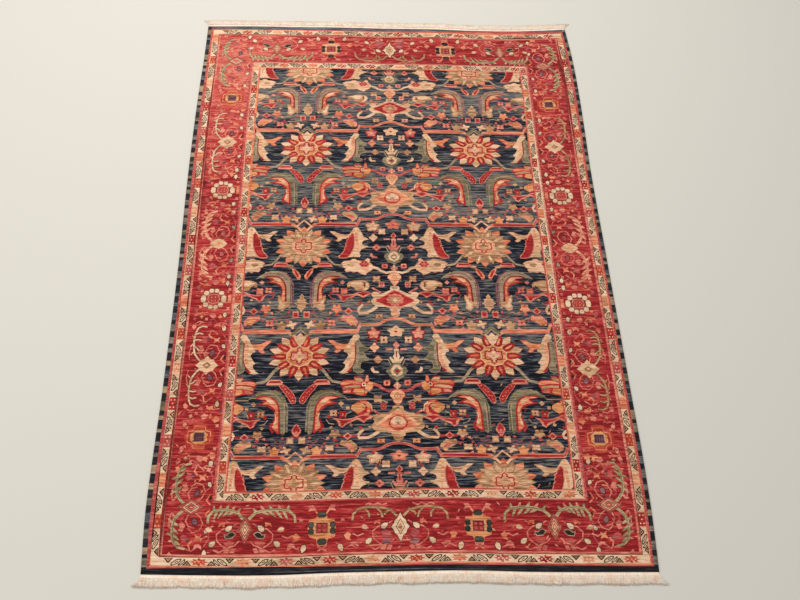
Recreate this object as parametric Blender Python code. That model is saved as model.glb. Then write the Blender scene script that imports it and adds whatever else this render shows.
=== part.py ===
# A flat-woven kilim, laid out flat, with the white warp fringe of its two ends.
# Metres, +Z up. Across the kilim is X, along it is Y, and its underside lies at Z = 0.
# The weave is one flat cloth whose edges wander a little, as hand-woven edges do.
# Each fringe is a narrow white web with its locks, a piece of its own at either end.

import math
import random

import bmesh
import bpy

HALF_WIDTH = 0.800  # nominal, from the middle to a side edge
HALF_LENGTH = 1.185  # nominal, from the middle to an end of the weave
CLOTH_THICKNESS = 0.003
SEAT_GAP = 0.0003  # between the weave's end and the web it runs into

WEB_WIDTH = 0.010  # tight white web that holds the warps
WEB_THICKNESS = 0.0025
LOCKS_PER_END = 120
LOCK_LENGTH = 0.036  # beyond the web
LOCK_SHORTEST = 0.84  # share of the length
LOCK_ROOT_SHARE = 0.64  # share of the pitch
LOCK_TIP_SHARE = 0.30
LOCK_TIP_THICKNESS = 0.0014
LOCK_JITTER = 0.0012  # sideways, at a tip
CORNER_SPREAD = 0.026  # how far the outermost lock leans out
CORNER_RUN = 0.075  # length of the web over which the locks fan out

OUTLINE_STEP = 0.06  # between points of the cloth's outline

# How far each side edge lies from the middle line, at places along the kilim.
SIDE_EDGES = [
    {"along": -1.185, "left": 0.800, "right": 0.798},
    {"along": -1.000, "left": 0.809, "right": 0.807},
    {"along": -0.800, "left": 0.807, "right": 0.810},
    {"along": -0.600, "left": 0.803, "right": 0.808},
    {"along": -0.400, "left": 0.802, "right": 0.807},
    {"along": -0.200, "left": 0.801, "right": 0.806},
    {"along": 0.000, "left": 0.802, "right": 0.805},
    {"along": 0.200, "left": 0.806, "right": 0.803},
    {"along": 0.400, "left": 0.808, "right": 0.803},
    {"along": 0.600, "left": 0.808, "right": 0.807},
    {"along": 0.800, "left": 0.806, "right": 0.810},
    {"along": 1.000, "left": 0.801, "right": 0.808},
    {"along": 1.185, "left": 0.800, "right": 0.797},
]

# How far each end of the weave lies from the middle, at places across the kilim.
END_EDGES = [
    {"across": -0.800, "near": 1.181, "far": 1.188},
    {"across": -0.600, "near": 1.185, "far": 1.189},
    {"across": -0.400, "near": 1.186, "far": 1.186},
    {"across": -0.200, "near": 1.179, "far": 1.185},
    {"across": 0.000, "near": 1.176, "far": 1.179},
    {"across": 0.200, "near": 1.174, "far": 1.178},
    {"across": 0.400, "near": 1.180, "far": 1.168},
    {"across": 0.600, "near": 1.182, "far": 1.168},
    {"across": 0.800, "near": 1.183, "far": 1.181},
]

# The lean of the locks is a sum of slow waves along the web, so that neighbours stay apart.
LEAN_WAVES = {
    "near": [
        {"height": 0.0045, "wavelength": 0.41, "phase": 0.6},
        {"height": 0.0030, "wavelength": 0.17, "phase": 2.1},
    ],
    "far": [
        {"height": 0.0040, "wavelength": 0.36, "phase": 1.9},
        {"height": 0.0032, "wavelength": 0.19, "phase": 0.3},
    ],
}

MATERIALS = {
    "wool": {"colour": (0.36, 0.10, 0.10, 1.0), "roughness": 0.92, "metallic": 0.0},
    "cotton": {"colour": (0.78, 0.71, 0.62, 1.0), "roughness": 0.95, "metallic": 0.0},
}


def clear_scene():
    for obj in list(bpy.data.objects):
        bpy.data.objects.remove(obj, do_unlink=True)


def make_material(name):
    finish = MATERIALS[name]
    material = bpy.data.materials.new(name)
    material.use_nodes = True
    shader = material.node_tree.nodes["Principled BSDF"]
    shader.inputs["Base Color"].default_value = finish["colour"]
    shader.inputs["Roughness"].default_value = finish["roughness"]
    shader.inputs["Metallic"].default_value = finish["metallic"]
    return material


def read_edge(rows, place, column, at):
    """The value of a column at any place along a table, on a smooth curve through its rows."""
    last = len(rows) - 1
    k = 0
    while k < last - 1 and rows[k + 1][place] < at:
        k += 1
    before, start = rows[max(k - 1, 0)], rows[k]
    end, after = rows[k + 1], rows[min(k + 2, last)]
    run = end[place] - start[place]
    t = min(max((at - start[place]) / run, 0.0), 1.0)
    slope_in = (end[column] - before[column]) / (end[place] - before[place]) * run
    slope_out = (after[column] - start[column]) / (after[place] - start[place]) * run
    return (
        start[column] * (2 * t**3 - 3 * t**2 + 1)
        + slope_in * (t**3 - 2 * t**2 + t)
        + end[column] * (3 * t**2 - 2 * t**3)
        + slope_out * (t**3 - t**2)
    )


def laid_point(across, along):
    """Where a point of the nominal rectangle lies on the uneven cloth."""
    side = "left" if across < 0 else "right"
    end = "near" if along < 0 else "far"
    reach_x = read_edge(SIDE_EDGES, "along", side, along)
    reach_y = read_edge(END_EDGES, "across", end, across)
    return across / HALF_WIDTH * reach_x, along / HALF_LENGTH * reach_y


def spaced(low, high, step):
    count = round((high - low) / step)
    return [low + (high - low) * i / count for i in range(count + 1)]


def cloth_outline():
    across = spaced(-HALF_WIDTH, HALF_WIDTH, OUTLINE_STEP)
    along = spaced(-HALF_LENGTH, HALF_LENGTH, OUTLINE_STEP)
    rectangle = [(x, -HALF_LENGTH) for x in across[:-1]]
    rectangle += [(HALF_WIDTH, y) for y in along[:-1]]
    rectangle += [(x, HALF_LENGTH) for x in across[:0:-1]]
    rectangle += [(-HALF_WIDTH, y) for y in along[:0:-1]]
    return [laid_point(x, y) for x, y in rectangle]


def make_weave(collection, material):
    """The cloth itself: its flat outline, filled and given the thickness of the weave."""
    outline = cloth_outline()
    curve = bpy.data.curves.new("weave", "CURVE")
    curve.dimensions = "2D"
    curve.fill_mode = "BOTH"
    curve.extrude = CLOTH_THICKNESS / 2
    spline = curve.splines.new("POLY")
    spline.points.add(len(outline) - 1)
    for point, (x, y) in zip(spline.points, outline):
        point.co = (x, y, 0.0, 1.0)
    spline.use_cyclic_u = True
    weave = bpy.data.objects.new("weave", curve)
    weave.location.z = CLOTH_THICKNESS / 2
    weave.data.materials.append(material)
    collection.objects.link(weave)
    return weave


def lean_of(end, across):
    """How far a lock's tip lies to one side of its root: slow waves, and a fan at each corner."""
    lean = sum(
        w["height"] * math.sin(2 * math.pi * across / w["wavelength"] + w["phase"])
        for w in LEAN_WAVES[end]
    )
    to_corner = HALF_WIDTH - abs(across)
    fan = max(0.0, 1 - to_corner / CORNER_RUN) ** 1.5
    return lean * (1 - fan) + math.copysign(CORNER_SPREAD * fan, across)


def make_fringe(end, seed, collection, material):
    """One end's web and locks: a strip of faces whose every second outer edge is drawn out."""
    rng = random.Random(seed)
    outward = -1 if end == "near" else 1
    divisions = 2 * LOCKS_PER_END + 1
    pitch = 2 * HALF_WIDTH / (LOCKS_PER_END + 0.5)
    margin = (2 * HALF_WIDTH - (LOCKS_PER_END - 1 + LOCK_ROOT_SHARE) * pitch) / 2

    bm = bmesh.new()
    bmesh.ops.create_grid(bm, x_segments=divisions, y_segments=1, size=1.0)
    columns = sorted({round(v.co.x, 6) for v in bm.verts})

    def division_place(index):
        """Where a column of the strip lies across the kilim: the two sides of each root in turn."""
        if index == 0:
            return -HALF_WIDTH
        if index == divisions:
            return HALF_WIDTH
        lock, side = divmod(index - 1, 2)
        return -HALF_WIDTH + margin + lock * pitch + side * LOCK_ROOT_SHARE * pitch

    outer_row = []
    for vert in bm.verts:
        index = columns.index(round(vert.co.x, 6))
        x, y = laid_point(division_place(index), outward * HALF_LENGTH)
        is_outer = vert.co.y > 0
        vert.co = (x, y + outward * (SEAT_GAP + (WEB_WIDTH if is_outer else 0.0)), 0.0)
        if is_outer:
            outer_row.append((index, vert))
    outer_row = [vert for _, vert in sorted(outer_row, key=lambda item: item[0])]

    for lock in range(LOCKS_PER_END):
        left, right = outer_row[2 * lock + 1], outer_row[2 * lock + 2]
        root_middle = (left.co + right.co) / 2
        lean = lean_of(end, root_middle.x) + rng.uniform(-LOCK_JITTER, LOCK_JITTER)
        length = LOCK_LENGTH * rng.uniform(LOCK_SHORTEST, 1.0)
        edge = next(e for e in left.link_edges if right in e.verts)
        for share in (0.5, 1.0):
            drawn = bmesh.ops.extrude_edge_only(bm, edges=[edge])["geom"]
            edge = next(g for g in drawn if isinstance(g, bmesh.types.BMEdge))
            width = pitch * (LOCK_ROOT_SHARE + (LOCK_TIP_SHARE - LOCK_ROOT_SHARE) * share)
            middle_x = root_middle.x + lean * share**1.6
            first, second = sorted(edge.verts, key=lambda v: v.co.x)
            for vert, side in ((first, -0.5), (second, 0.5)):
                vert.co.x = middle_x + side * width
                vert.co.y = root_middle.y + outward * length * share

    drawn = bmesh.ops.extrude_face_region(bm, geom=bm.faces[:])["geom"]
    raised = [g for g in drawn if isinstance(g, bmesh.types.BMVert)]
    for vert in raised:
        end_y = laid_point(max(-HALF_WIDTH, min(HALF_WIDTH, vert.co.x)), outward * HALF_LENGTH)[1]
        beyond_web = abs(vert.co.y) - abs(end_y) - SEAT_GAP - WEB_WIDTH
        share = min(max(beyond_web / LOCK_LENGTH, 0.0), 1.0)
        vert.co.z = WEB_THICKNESS + (LOCK_TIP_THICKNESS - WEB_THICKNESS) * share
    bmesh.ops.recalc_face_normals(bm, faces=bm.faces[:])

    mesh = bpy.data.meshes.new("fringe_" + end)
    bm.to_mesh(mesh)
    bm.free()
    mesh.materials.append(material)
    fringe = bpy.data.objects.new("fringe_" + end, mesh)
    collection.objects.link(fringe)
    return fringe


def main():
    clear_scene()
    kilim = bpy.data.collections.new("kilim")
    bpy.context.scene.collection.children.link(kilim)
    wool = make_material("wool")
    cotton = make_material("cotton")
    make_weave(kilim, wool)
    make_fringe("near", 11, kilim, cotton)
    make_fringe("far", 23, kilim, cotton)


main()
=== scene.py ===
# A flat-woven kilim with its white warp fringe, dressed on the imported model.
import math
import random

import bmesh
import bpy
import numpy
from mathutils import Matrix, Vector, noise
from mathutils.geometry import delaunay_2d_cdt


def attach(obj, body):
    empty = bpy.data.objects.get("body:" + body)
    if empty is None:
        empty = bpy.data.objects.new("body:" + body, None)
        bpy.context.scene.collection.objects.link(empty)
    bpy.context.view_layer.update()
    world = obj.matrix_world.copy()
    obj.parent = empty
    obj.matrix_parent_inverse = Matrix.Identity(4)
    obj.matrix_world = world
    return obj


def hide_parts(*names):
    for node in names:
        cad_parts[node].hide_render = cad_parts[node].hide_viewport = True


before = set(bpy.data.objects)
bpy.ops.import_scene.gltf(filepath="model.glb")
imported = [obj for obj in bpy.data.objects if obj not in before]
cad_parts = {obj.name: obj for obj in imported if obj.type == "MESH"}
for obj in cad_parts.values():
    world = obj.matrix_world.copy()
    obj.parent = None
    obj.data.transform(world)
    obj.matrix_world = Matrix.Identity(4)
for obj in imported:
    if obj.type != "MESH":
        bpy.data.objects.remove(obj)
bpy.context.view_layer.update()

bpy.ops.object.select_all(action="DESELECT")
millimetre = 0.001


# The camera stands at the near end and looks down on the kilim
view = {
    "place": (-0.141, -1.710, 2.641),
    "lookDown": 60.46,  # degrees under level
    "turn": 2.24,  # degrees to the right of straight ahead
    "roll": 1.97,
    "lens": 37.4,
    "film": 36,  # its width, in millimetres
    "shiftX": 0.035,
    "farthest": 50,
}


def makeCamera():
    lensData = bpy.data.cameras.new("camera")
    lensData.lens = view["lens"]
    lensData.sensor_width = view["film"]
    lensData.shift_x = view["shiftX"]
    lensData.clip_end = view["farthest"]
    camera = bpy.data.objects.new("camera", lensData)
    bpy.context.scene.collection.objects.link(camera)
    turnAbout = Matrix.Rotation(math.radians(-view["turn"]), 4, "Z")
    tilt = Matrix.Rotation(math.radians(90 - view["lookDown"]), 4, "X")
    roll = Matrix.Rotation(math.radians(view["roll"]), 4, "Z")
    camera.matrix_world = Matrix.Translation(view["place"]) @ turnAbout @ tilt @ roll
    bpy.context.scene.camera = camera


# Soft light from above: most from over the far end, and a little from the near left
studio = {
    "floorSize": 14.0,
    "floorDrop": 0.0005,  # under the cloth
    "mainPower": 124,
    "mainSize": 4.0,
    "mainPlace": (-0.8, 2.2, 3.4),
    "fillPower": 34,
    "fillSize": 3.0,
    "fillPlace": (-2.4, -1.8, 3.2),
    "lampColour": (1.0, 0.955, 0.88),
    "air": 0.54,
    "airColour": (1.0, 0.97, 0.90, 1),
    "paper": (0.66, 0.65, 0.62, 1),
    "paperRoughness": 0.8,
}


def makeStudio():
    bpy.ops.mesh.primitive_plane_add(size=studio["floorSize"], location=(0, 0, -studio["floorDrop"]))
    floor = bpy.context.active_object
    floor.name = "studio_floor"
    bpy.ops.object.transform_apply(location=True, rotation=True, scale=True)
    paper = bpy.data.materials.new("pale paper")
    paper.use_nodes = True
    shader = paper.node_tree.nodes["Principled BSDF"]
    shader.inputs["Base Color"].default_value = studio["paper"]
    shader.inputs["Roughness"].default_value = studio["paperRoughness"]
    floor.data.materials.append(paper)
    bpy.ops.object.select_all(action="DESELECT")
    for name, power, size, place in (
        ("main light", studio["mainPower"], studio["mainSize"], studio["mainPlace"]),
        ("fill light", studio["fillPower"], studio["fillSize"], studio["fillPlace"]),
    ):
        lamp = bpy.data.lights.new(name, "AREA")
        lamp.energy = power
        lamp.size = size
        lamp.color = studio["lampColour"]
        lampObject = bpy.data.objects.new(name, lamp)
        lampObject.location = place
        aim = Vector((0, 0, 0)) - Vector(place)
        lampObject.rotation_euler = aim.to_track_quat("-Z", "Y").to_euler()
        bpy.context.scene.collection.objects.link(lampObject)
    air = bpy.data.worlds.new("studio air")
    air.use_nodes = True
    background = air.node_tree.nodes["Background"]
    background.inputs["Color"].default_value = studio["airColour"]
    background.inputs["Strength"].default_value = studio["air"]
    bpy.context.scene.world = air
    bpy.context.scene.view_settings.view_transform = "Standard"


# The pattern is flat outlines in millimetres, a later one on top of an earlier one
shapes = []


def weave(yarn, outline, isFine=False):  # a fine shape is left off the underside
    shapes.append((yarn, outline, isFine))


def ribbon(line, width, tip=None):  # the outline of a line of even or tapering width
    left = []
    right = []
    last = len(line) - 1
    for k, (x, y) in enumerate(line):
        beforeX, beforeY = line[max(k - 1, 0)]
        afterX, afterY = line[min(k + 1, last)]
        runX = afterX - beforeX
        runY = afterY - beforeY
        run = math.hypot(runX, runY) or 1.0
        half = width / 2
        if tip is not None:
            half = (width + (tip - width) * k / last) / 2
        left.append((x - runY / run * half, y + runX / run * half))
        right.append((x + runY / run * half, y - runX / run * half))
    return left + right[::-1]


def grown(outline, margin):  # the same outline, moved out by a margin
    area = sum(ax * by - bx * ay for (ax, ay), (bx, by) in zip(outline, outline[1:] + outline[:1]))
    turn = 1.0 if area > 0 else -1.0
    count = len(outline)
    out = []
    for k, (x, y) in enumerate(outline):
        ax, ay = outline[k - 1]
        bx, by = outline[(k + 1) % count]
        inX, inY = x - ax, y - ay
        outX, outY = bx - x, by - y
        inRun = math.hypot(inX, inY) or 1.0
        outRun = math.hypot(outX, outY) or 1.0
        normalX = turn * (inY / inRun + outY / outRun)
        normalY = turn * (-inX / inRun - outX / outRun)
        size = normalX * normalX + normalY * normalY
        reach = margin * 2 / max(size, 1.0)
        out.append((x + normalX * reach, y + normalY * reach))
    return out


def mirrored(right):  # a right half that begins and ends on the middle line, and its mirror
    return right + [(-x, y) for x, y in right[-2:0:-1]]


def acrossAxis(half):  # an outline that is the same on both sides of the X axis
    return half + [(x, -y) for x, y in reversed(half) if y]


def halfTurned(half):  # an outline that is the same when it's turned half round
    return half + [(-x, -y) for x, y in half]


def lozenge(x, y, halfWidth, halfHeight):
    return [(x - halfWidth, y), (x, y - halfHeight), (x + halfWidth, y), (x, y + halfHeight)]


def box(x, y, halfWidth, halfHeight):
    return [
        (x - halfWidth, y - halfHeight), (x + halfWidth, y - halfHeight), (x + halfWidth, y + halfHeight),
        (x - halfWidth, y + halfHeight),
    ]


def lobed(x, y, radius, lobes, depth, squash=1.0, turn=0.0, steps=4):  # a round flower's edge
    outline = []
    count = lobes * steps
    for k in range(count):
        angle = 2 * math.pi * k / count + turn
        reach = radius * (1 + depth * math.cos(2 * math.pi * k / steps))
        outline.append((x + reach * math.cos(angle), y + squash * reach * math.sin(angle)))
    return outline


def turned(outline, angle, x, y, squash=1.0):  # a shape on the X axis, turned to an angle about a point
    c, s = math.cos(angle), math.sin(angle)
    return [(x + px * c - py * s, y + squash * (px * s + py * c)) for px, py in outline]


# The field's two colourways, by what the yarn makes
wayA = {
    "bar": "coral", "barEdge": "pink", "barEnd": "tan", "chevron": "sage", "line": "coral",
    "lineEdge": "pink", "budTop": "pink", "budLow": "orange", "budFoot": "olive", "flower1": "pink",
    "flower1Heart": "red", "flower2": "tan", "flower3": "cream", "flower4": "red", "flower4Heart": "pink",
    "bird": "coral", "link": "ash", "petalLong": "cream", "petalLongBase": "orange", "petalShort": "red",
    "petalShortEdge": "brick", "petalCore": "coral", "disc": "orange", "ring": "brick", "heart": "pink",
    "heartCross": "cream", "stalk": "rose", "curlOuter": "sage", "curlEdge": "ash", "curlInner": "coral",
    "curlLine": "red", "curlRim": "sage", "smallDiamond": "rose", "smallStar": "tan", "pairLeft": "red",
    "pairLeftHeart": "pink", "pairRight": "tan", "axis1": "peach", "axis1Edge": "cream", "axis2": "pink",
    "axis3": "cream", "axis4": "sage", "axis4Heart": "red", "axis5": "pink", "axis6": "orange",
    "axis6Edge": "peach", "side1": "pink", "side1Edge": "red", "side2": "cream", "side3": "peach",
    "side4": "tan", "side5": "cream", "side6": "red", "bracket": "red", "bracketEdge": "pink",
    "hook": "cream", "hookBar": "red", "hookFlower": "tan",
}
wayB = {
    "bar": "red", "barEdge": "pink", "barEnd": "coral", "chevron": "peach", "line": "rose",
    "lineEdge": "pink", "budTop": "tan", "budLow": "pink", "budFoot": "orange", "flower1": "cream",
    "flower1Heart": "cream", "flower2": "orange", "flower3": "cream", "flower4": "cream",
    "flower4Heart": "tan", "bird": "cream", "link": "ash", "petalLong": "coral", "petalLongBase": "tan",
    "petalShort": "tan", "petalShortEdge": "sage", "petalCore": "cream", "disc": "peach", "ring": "red",
    "heart": "peach", "heartCross": "tan", "stalk": "cream", "curlOuter": "ash", "curlEdge": "mauve",
    "curlInner": "coral", "curlLine": "brick", "curlRim": "mauve", "smallDiamond": "pink",
    "smallStar": "tan", "pairLeft": "pink", "pairLeftHeart": "coral", "pairRight": "pink", "axis1": "coral",
    "axis1Edge": "pink", "axis2": "red", "axis3": "pink", "axis4": "sage", "axis4Heart": "cream",
    "axis5": "pink", "axis6": "coral", "axis6Edge": "peach", "side1": "cream", "side1Edge": "cream",
    "side2": "cream", "side3": "cream", "side4": "pink", "side5": "pink", "side6": "brick",
    "bracket": "red", "bracketEdge": "pink", "hook": "cream", "hookBar": "rose", "hookFlower": "coral",
}


def rosette(put, way, isA):
    x, y, squash = (345, 12, 0.80) if isA else (345, 2, 0.84)
    longPetal = acrossAxis([(34, -8), (62, -17), (82, -17), (97, -11), (111, 0)])
    longBase = [(34, -6), (56, -8), (68, -5), (74, 0)] if isA else [(34, -8), (60, -14), (74, -12), (84, 0)]
    longBase = acrossAxis(longBase)
    shortPetal = acrossAxis([(34, -4), (60, -13), (80, -11), (99, 0)])
    shortCore = acrossAxis([(54, -2), (67, -5), (80, -3), (87, 0)])
    for k in range(10):
        angle = math.radians(90 + 36 * k)
        put("brick" if isA else "olive", turned(grown(longPetal, 1.8), angle, x, y, squash))
        put(way["petalLong"], turned(longPetal, angle, x, y, squash))
        put(way["petalLongBase"], turned(longBase, angle, x, y, squash))
    for k in range(10):
        angle = math.radians(108 + 36 * k)
        put(way["petalShortEdge"], turned(grown(shortPetal, 2.5), angle, x, y, squash))
        put(way["petalShort"], turned(shortPetal, angle, x, y, squash))
        put(way["petalCore"], turned(shortCore, angle, x, y, squash))
    put("cream" if isA else "tan", lobed(x, y, 48, 10, 0.06, squash, math.radians(90), 3))
    put(way["disc"], lobed(x, y, 44, 10, 0.05, squash, math.radians(90), 2))
    half = [(0, 33), (7, 29), (8, 20), (12, 14), (21, 17), (30, 13), (28, 3), (31, -5), (29, -15),
            (21, -18), (12, -15), (9, -22), (7, -30), (0, -34)]
    heart = [(x + px, y + 2 + py * squash * 1.15) for px, py in mirrored(half)]
    put(way["ring"], grown(heart, 2.2))
    put(way["heart"], grown(heart, -1.8))
    put(way["heartCross"], lobed(x, y, 15, 4, 0.4, 1.1, math.radians(90), 4))
    put(way["petalLongBase"], lozenge(x, y, 5, 5))
    for up in (-1, 1):
        put(way["ring"], ribbon([(x - 6, y + 2 + up * 16), (x - 5, y + 2 + up * 22)], 2.5))
        put(way["ring"], ribbon([(x + 6, y + 2 + up * 16), (x + 5, y + 2 + up * 22)], 2.5))


def star(put, yarn, x, y, halfWidth, halfHeight, petals=4, heart=None, depth=0.3, turn=45):
    outline = lobed(x, y, halfWidth, petals, depth, halfHeight / halfWidth, math.radians(turn), 4)
    put("dark" if yarn in ("red", "brick") else "brick", grown(outline, 1.3))
    put(yarn, outline)
    if heart:
        put(heart, lozenge(x, y, halfWidth * 0.36, halfHeight * 0.36))


# Motifs between the middle line and the rosettes' column, in millimetres from the middle line and
# from the rosettes' row
def barMotifs(put, way, isA):
    # bar over the sail, with its sloping ends
    put(way["barEdge"], [(135, 97), (160, 97), (300, 97), (322, 84), (330, 88), (306, 112), (250, 115),
                         (246, 124), (236, 115), (150, 114), (135, 113)])
    put(way["bar"], [(141, 101), (205, 101), (292, 101), (306, 98), (318, 90), (302, 108), (280, 110),
                     (150, 109.5), (141, 109)])
    put(way["barEnd"], ribbon([(296, 103), (316, 97), (334, 78)], 9))
    put(way["lineEdge"], ribbon([(142, 104), (133, 120), (126, 138)], 11))
    put(way["line"], ribbon([(141, 104), (132, 120), (127, 134)], 5))
    put(way["chevron"], ribbon([(313, 93), (328, 108), (345, 124), (362, 108), (377, 93)], 9 if isA else 7))
    if isA:
        put("ash", ribbon([(326, 96), (345, 113), (364, 96)], 5))
        put(way["petalLong"], [(322, 84), (330, 90), (345, 74), (360, 90), (368, 84), (356, 60), (345, 50),
                               (334, 60)])
    else:
        put(way["chevron"], ribbon([(318, 96), (326, 84), (335, 74)], 8))
        put(way["chevron"], ribbon([(372, 96), (364, 84), (355, 74)], 8))
    # line from the bar to the middle
    put(way["lineEdge"], ribbon([(132, 131), (72, 131), (54, 137), (38, 147), (20, 154), (0, 156)], 11))
    put(way["line"], ribbon([(128, 131), (74, 131), (54, 137), (38, 147), (20, 154), (0, 156)],
                            5 if not isA else 7))
    # bud that stands on the bar's left end
    put(way["budTop"], [(138, 138), (140, 150), (150, 160), (160, 170), (170, 166), (182, 166), (190, 170),
                        (199, 160), (196, 150), (180, 142), (170, 134), (162, 126), (150, 125), (142, 130)])
    put(way["budLow"], [(146, 132), (150, 142), (160, 152), (176, 158), (182, 150), (168, 138), (158, 130)])
    put(way["budFoot"], [(146, 127), (158, 120), (164, 128), (154, 133)])
    # small flowers above the bar
    star(put, way["flower1"], 232, 139, 15, 12, 4, way["flower1Heart"])
    put(way["flower2"], lobed(275, 128, 17, 5, 0.24, 1.0, math.radians(90)))
    star(put, way["flower3"], 312, 132, 15, 13, 4, None, 0.42, 20)
    put(way["flower4Heart"], lobed(325, 172, 13, 4, 0.2, 1.1, math.radians(45)))
    put(way["flower4"], lobed(325, 172, 8, 4, 0.2, 1.1, math.radians(45)))
    put("mauve", ribbon([(274, 166), (288, 160), (300, 168), (314, 164)], 5))
    put("olive", ribbon([(272, 172), (290, 170)], 5))
    star(put, way["flower2"], 60, 164, 14, 10, 4, "brick", 0.25)
    put("olive", ribbon([(52, 152), (54, 160)], 5))
    # sprigs among them
    sprigs = [(206, 152, 7), (248, 158, 6), (256, 146, 5), (296, 146, 6), (214, 172, 8), (238, 178, 6),
              (300, 182, 6)]
    for x, y, size in sprigs:
        put(("pink", "cream", "rose", "tan")[(x + y) % 4], lobed(x, y, size, 4, 0.25, 0.9, x, 2))
    stems = [
        [(196, 160), (214, 156), (222, 148)], [(246, 134), (262, 140), (268, 134)],
        [(288, 122), (298, 138), (308, 136)], [(222, 182), (240, 172), (262, 180), (276, 174)],
        [(262, 154), (284, 152), (304, 156), (322, 158)],
    ]
    for stem in stems:
        put("ash" if isA else "mauve", ribbon(stem, 3.2))


def sailMotifs(put, way, isA):
    # bird on the sail
    bird = [(160, 62), (172, 58), (186, 56), (204, 59), (216, 64), (226, 71), (245, 72), (236, 62),
            (222, 50), (213, 38), (222, 27), (211, 24), (200, 31), (199, 37), (184, 38), (172, 46)]
    put("brick", grown(bird, 1.6))
    put(way["bird"], bird)
    put(way["petalLongBase"], [(172, 54), (200, 54), (222, 62), (206, 50), (198, 43), (178, 46)])
    if isA:
        sailGrey = [(136, 76), (129, 62), (121, 52), (110, 44), (99, 41), (105, 34), (117, 32), (116, 22),
                    (112, 12), (105, 4), (94, -2), (108, -6), (124, -9), (130, -20), (130, -36), (117, -43),
                    (124, -49), (138, -51), (150, -44), (154, -30), (150, -16), (146, 0), (146, 60)]
        sailCream = [(134, 92), (142, 96), (152, 93), (158, 82), (165, 73), (171, 58), (179, 45), (188, 33),
                     (187, 28), (178, 25), (171, 15), (178, 2), (185, -8), (191, -14), (182, -20),
                     (184, -31), (194, -43), (205, -50), (190, -53), (172, -50), (158, -32), (150, -14),
                     (147, 20), (147, 62), (140, 70), (130, 84)]
        put("ash", grown(sailGrey, 2.0))
        put("sage", sailGrey)
        put("ash", [(140, 60), (134, 40), (132, 10), (138, -20), (144, -30), (143, 40)])
        put("cream", sailCream)
        put("peach", [(150, 80), (158, 66), (164, 40), (160, 10), (168, -18), (178, -40), (166, -34),
                      (154, -14), (150, 20)])
        put("brick", ribbon([(147, 62), (146, 20), (148, -6), (156, -26), (172, -44)], 4))
        put("red", [(160, -30), (168, -38), (178, -46), (170, -49), (160, -42)])
    else:
        sailCream = [(134, 88), (142, 92), (152, 88), (158, 76), (168, 60), (160, 40), (156, 0), (164, -24),
                     (180, -48), (156, -45), (150, -36), (152, -45), (131, -46), (127, -39), (132, -32),
                     (131, -22), (122, -10), (100, -2), (100, 3), (114, 6), (122, 12), (121, 24), (112, 31),
                     (99, 35), (104, 41), (114, 45), (120, 56), (126, 70)]
        sailRed = [(158, 62), (163, 55), (168, 48), (172, 42), (171, 36), (179, 31), (177, 22), (182, 14),
                   (179, 4), (185, -4), (187, -14), (190, -22), (195, -30), (201, -37), (207, -43),
                   (206, -49), (190, -50), (178, -48), (166, -32), (158, -12), (153, 8), (152, 40),
                   (153, 56)]
        put("tan", grown(sailCream, 1.5))
        put("cream", sailCream)
        put("peach", [(140, 84), (147, 84), (148, 40), (142, -10), (136, -30), (134, 0), (136, 40)])
        put("pink", grown(sailRed, 3.5))
        put("red", sailRed)
        put("brick", ribbon([(156, 52), (155, 10), (163, -20), (178, -42)], 3.5))


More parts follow.
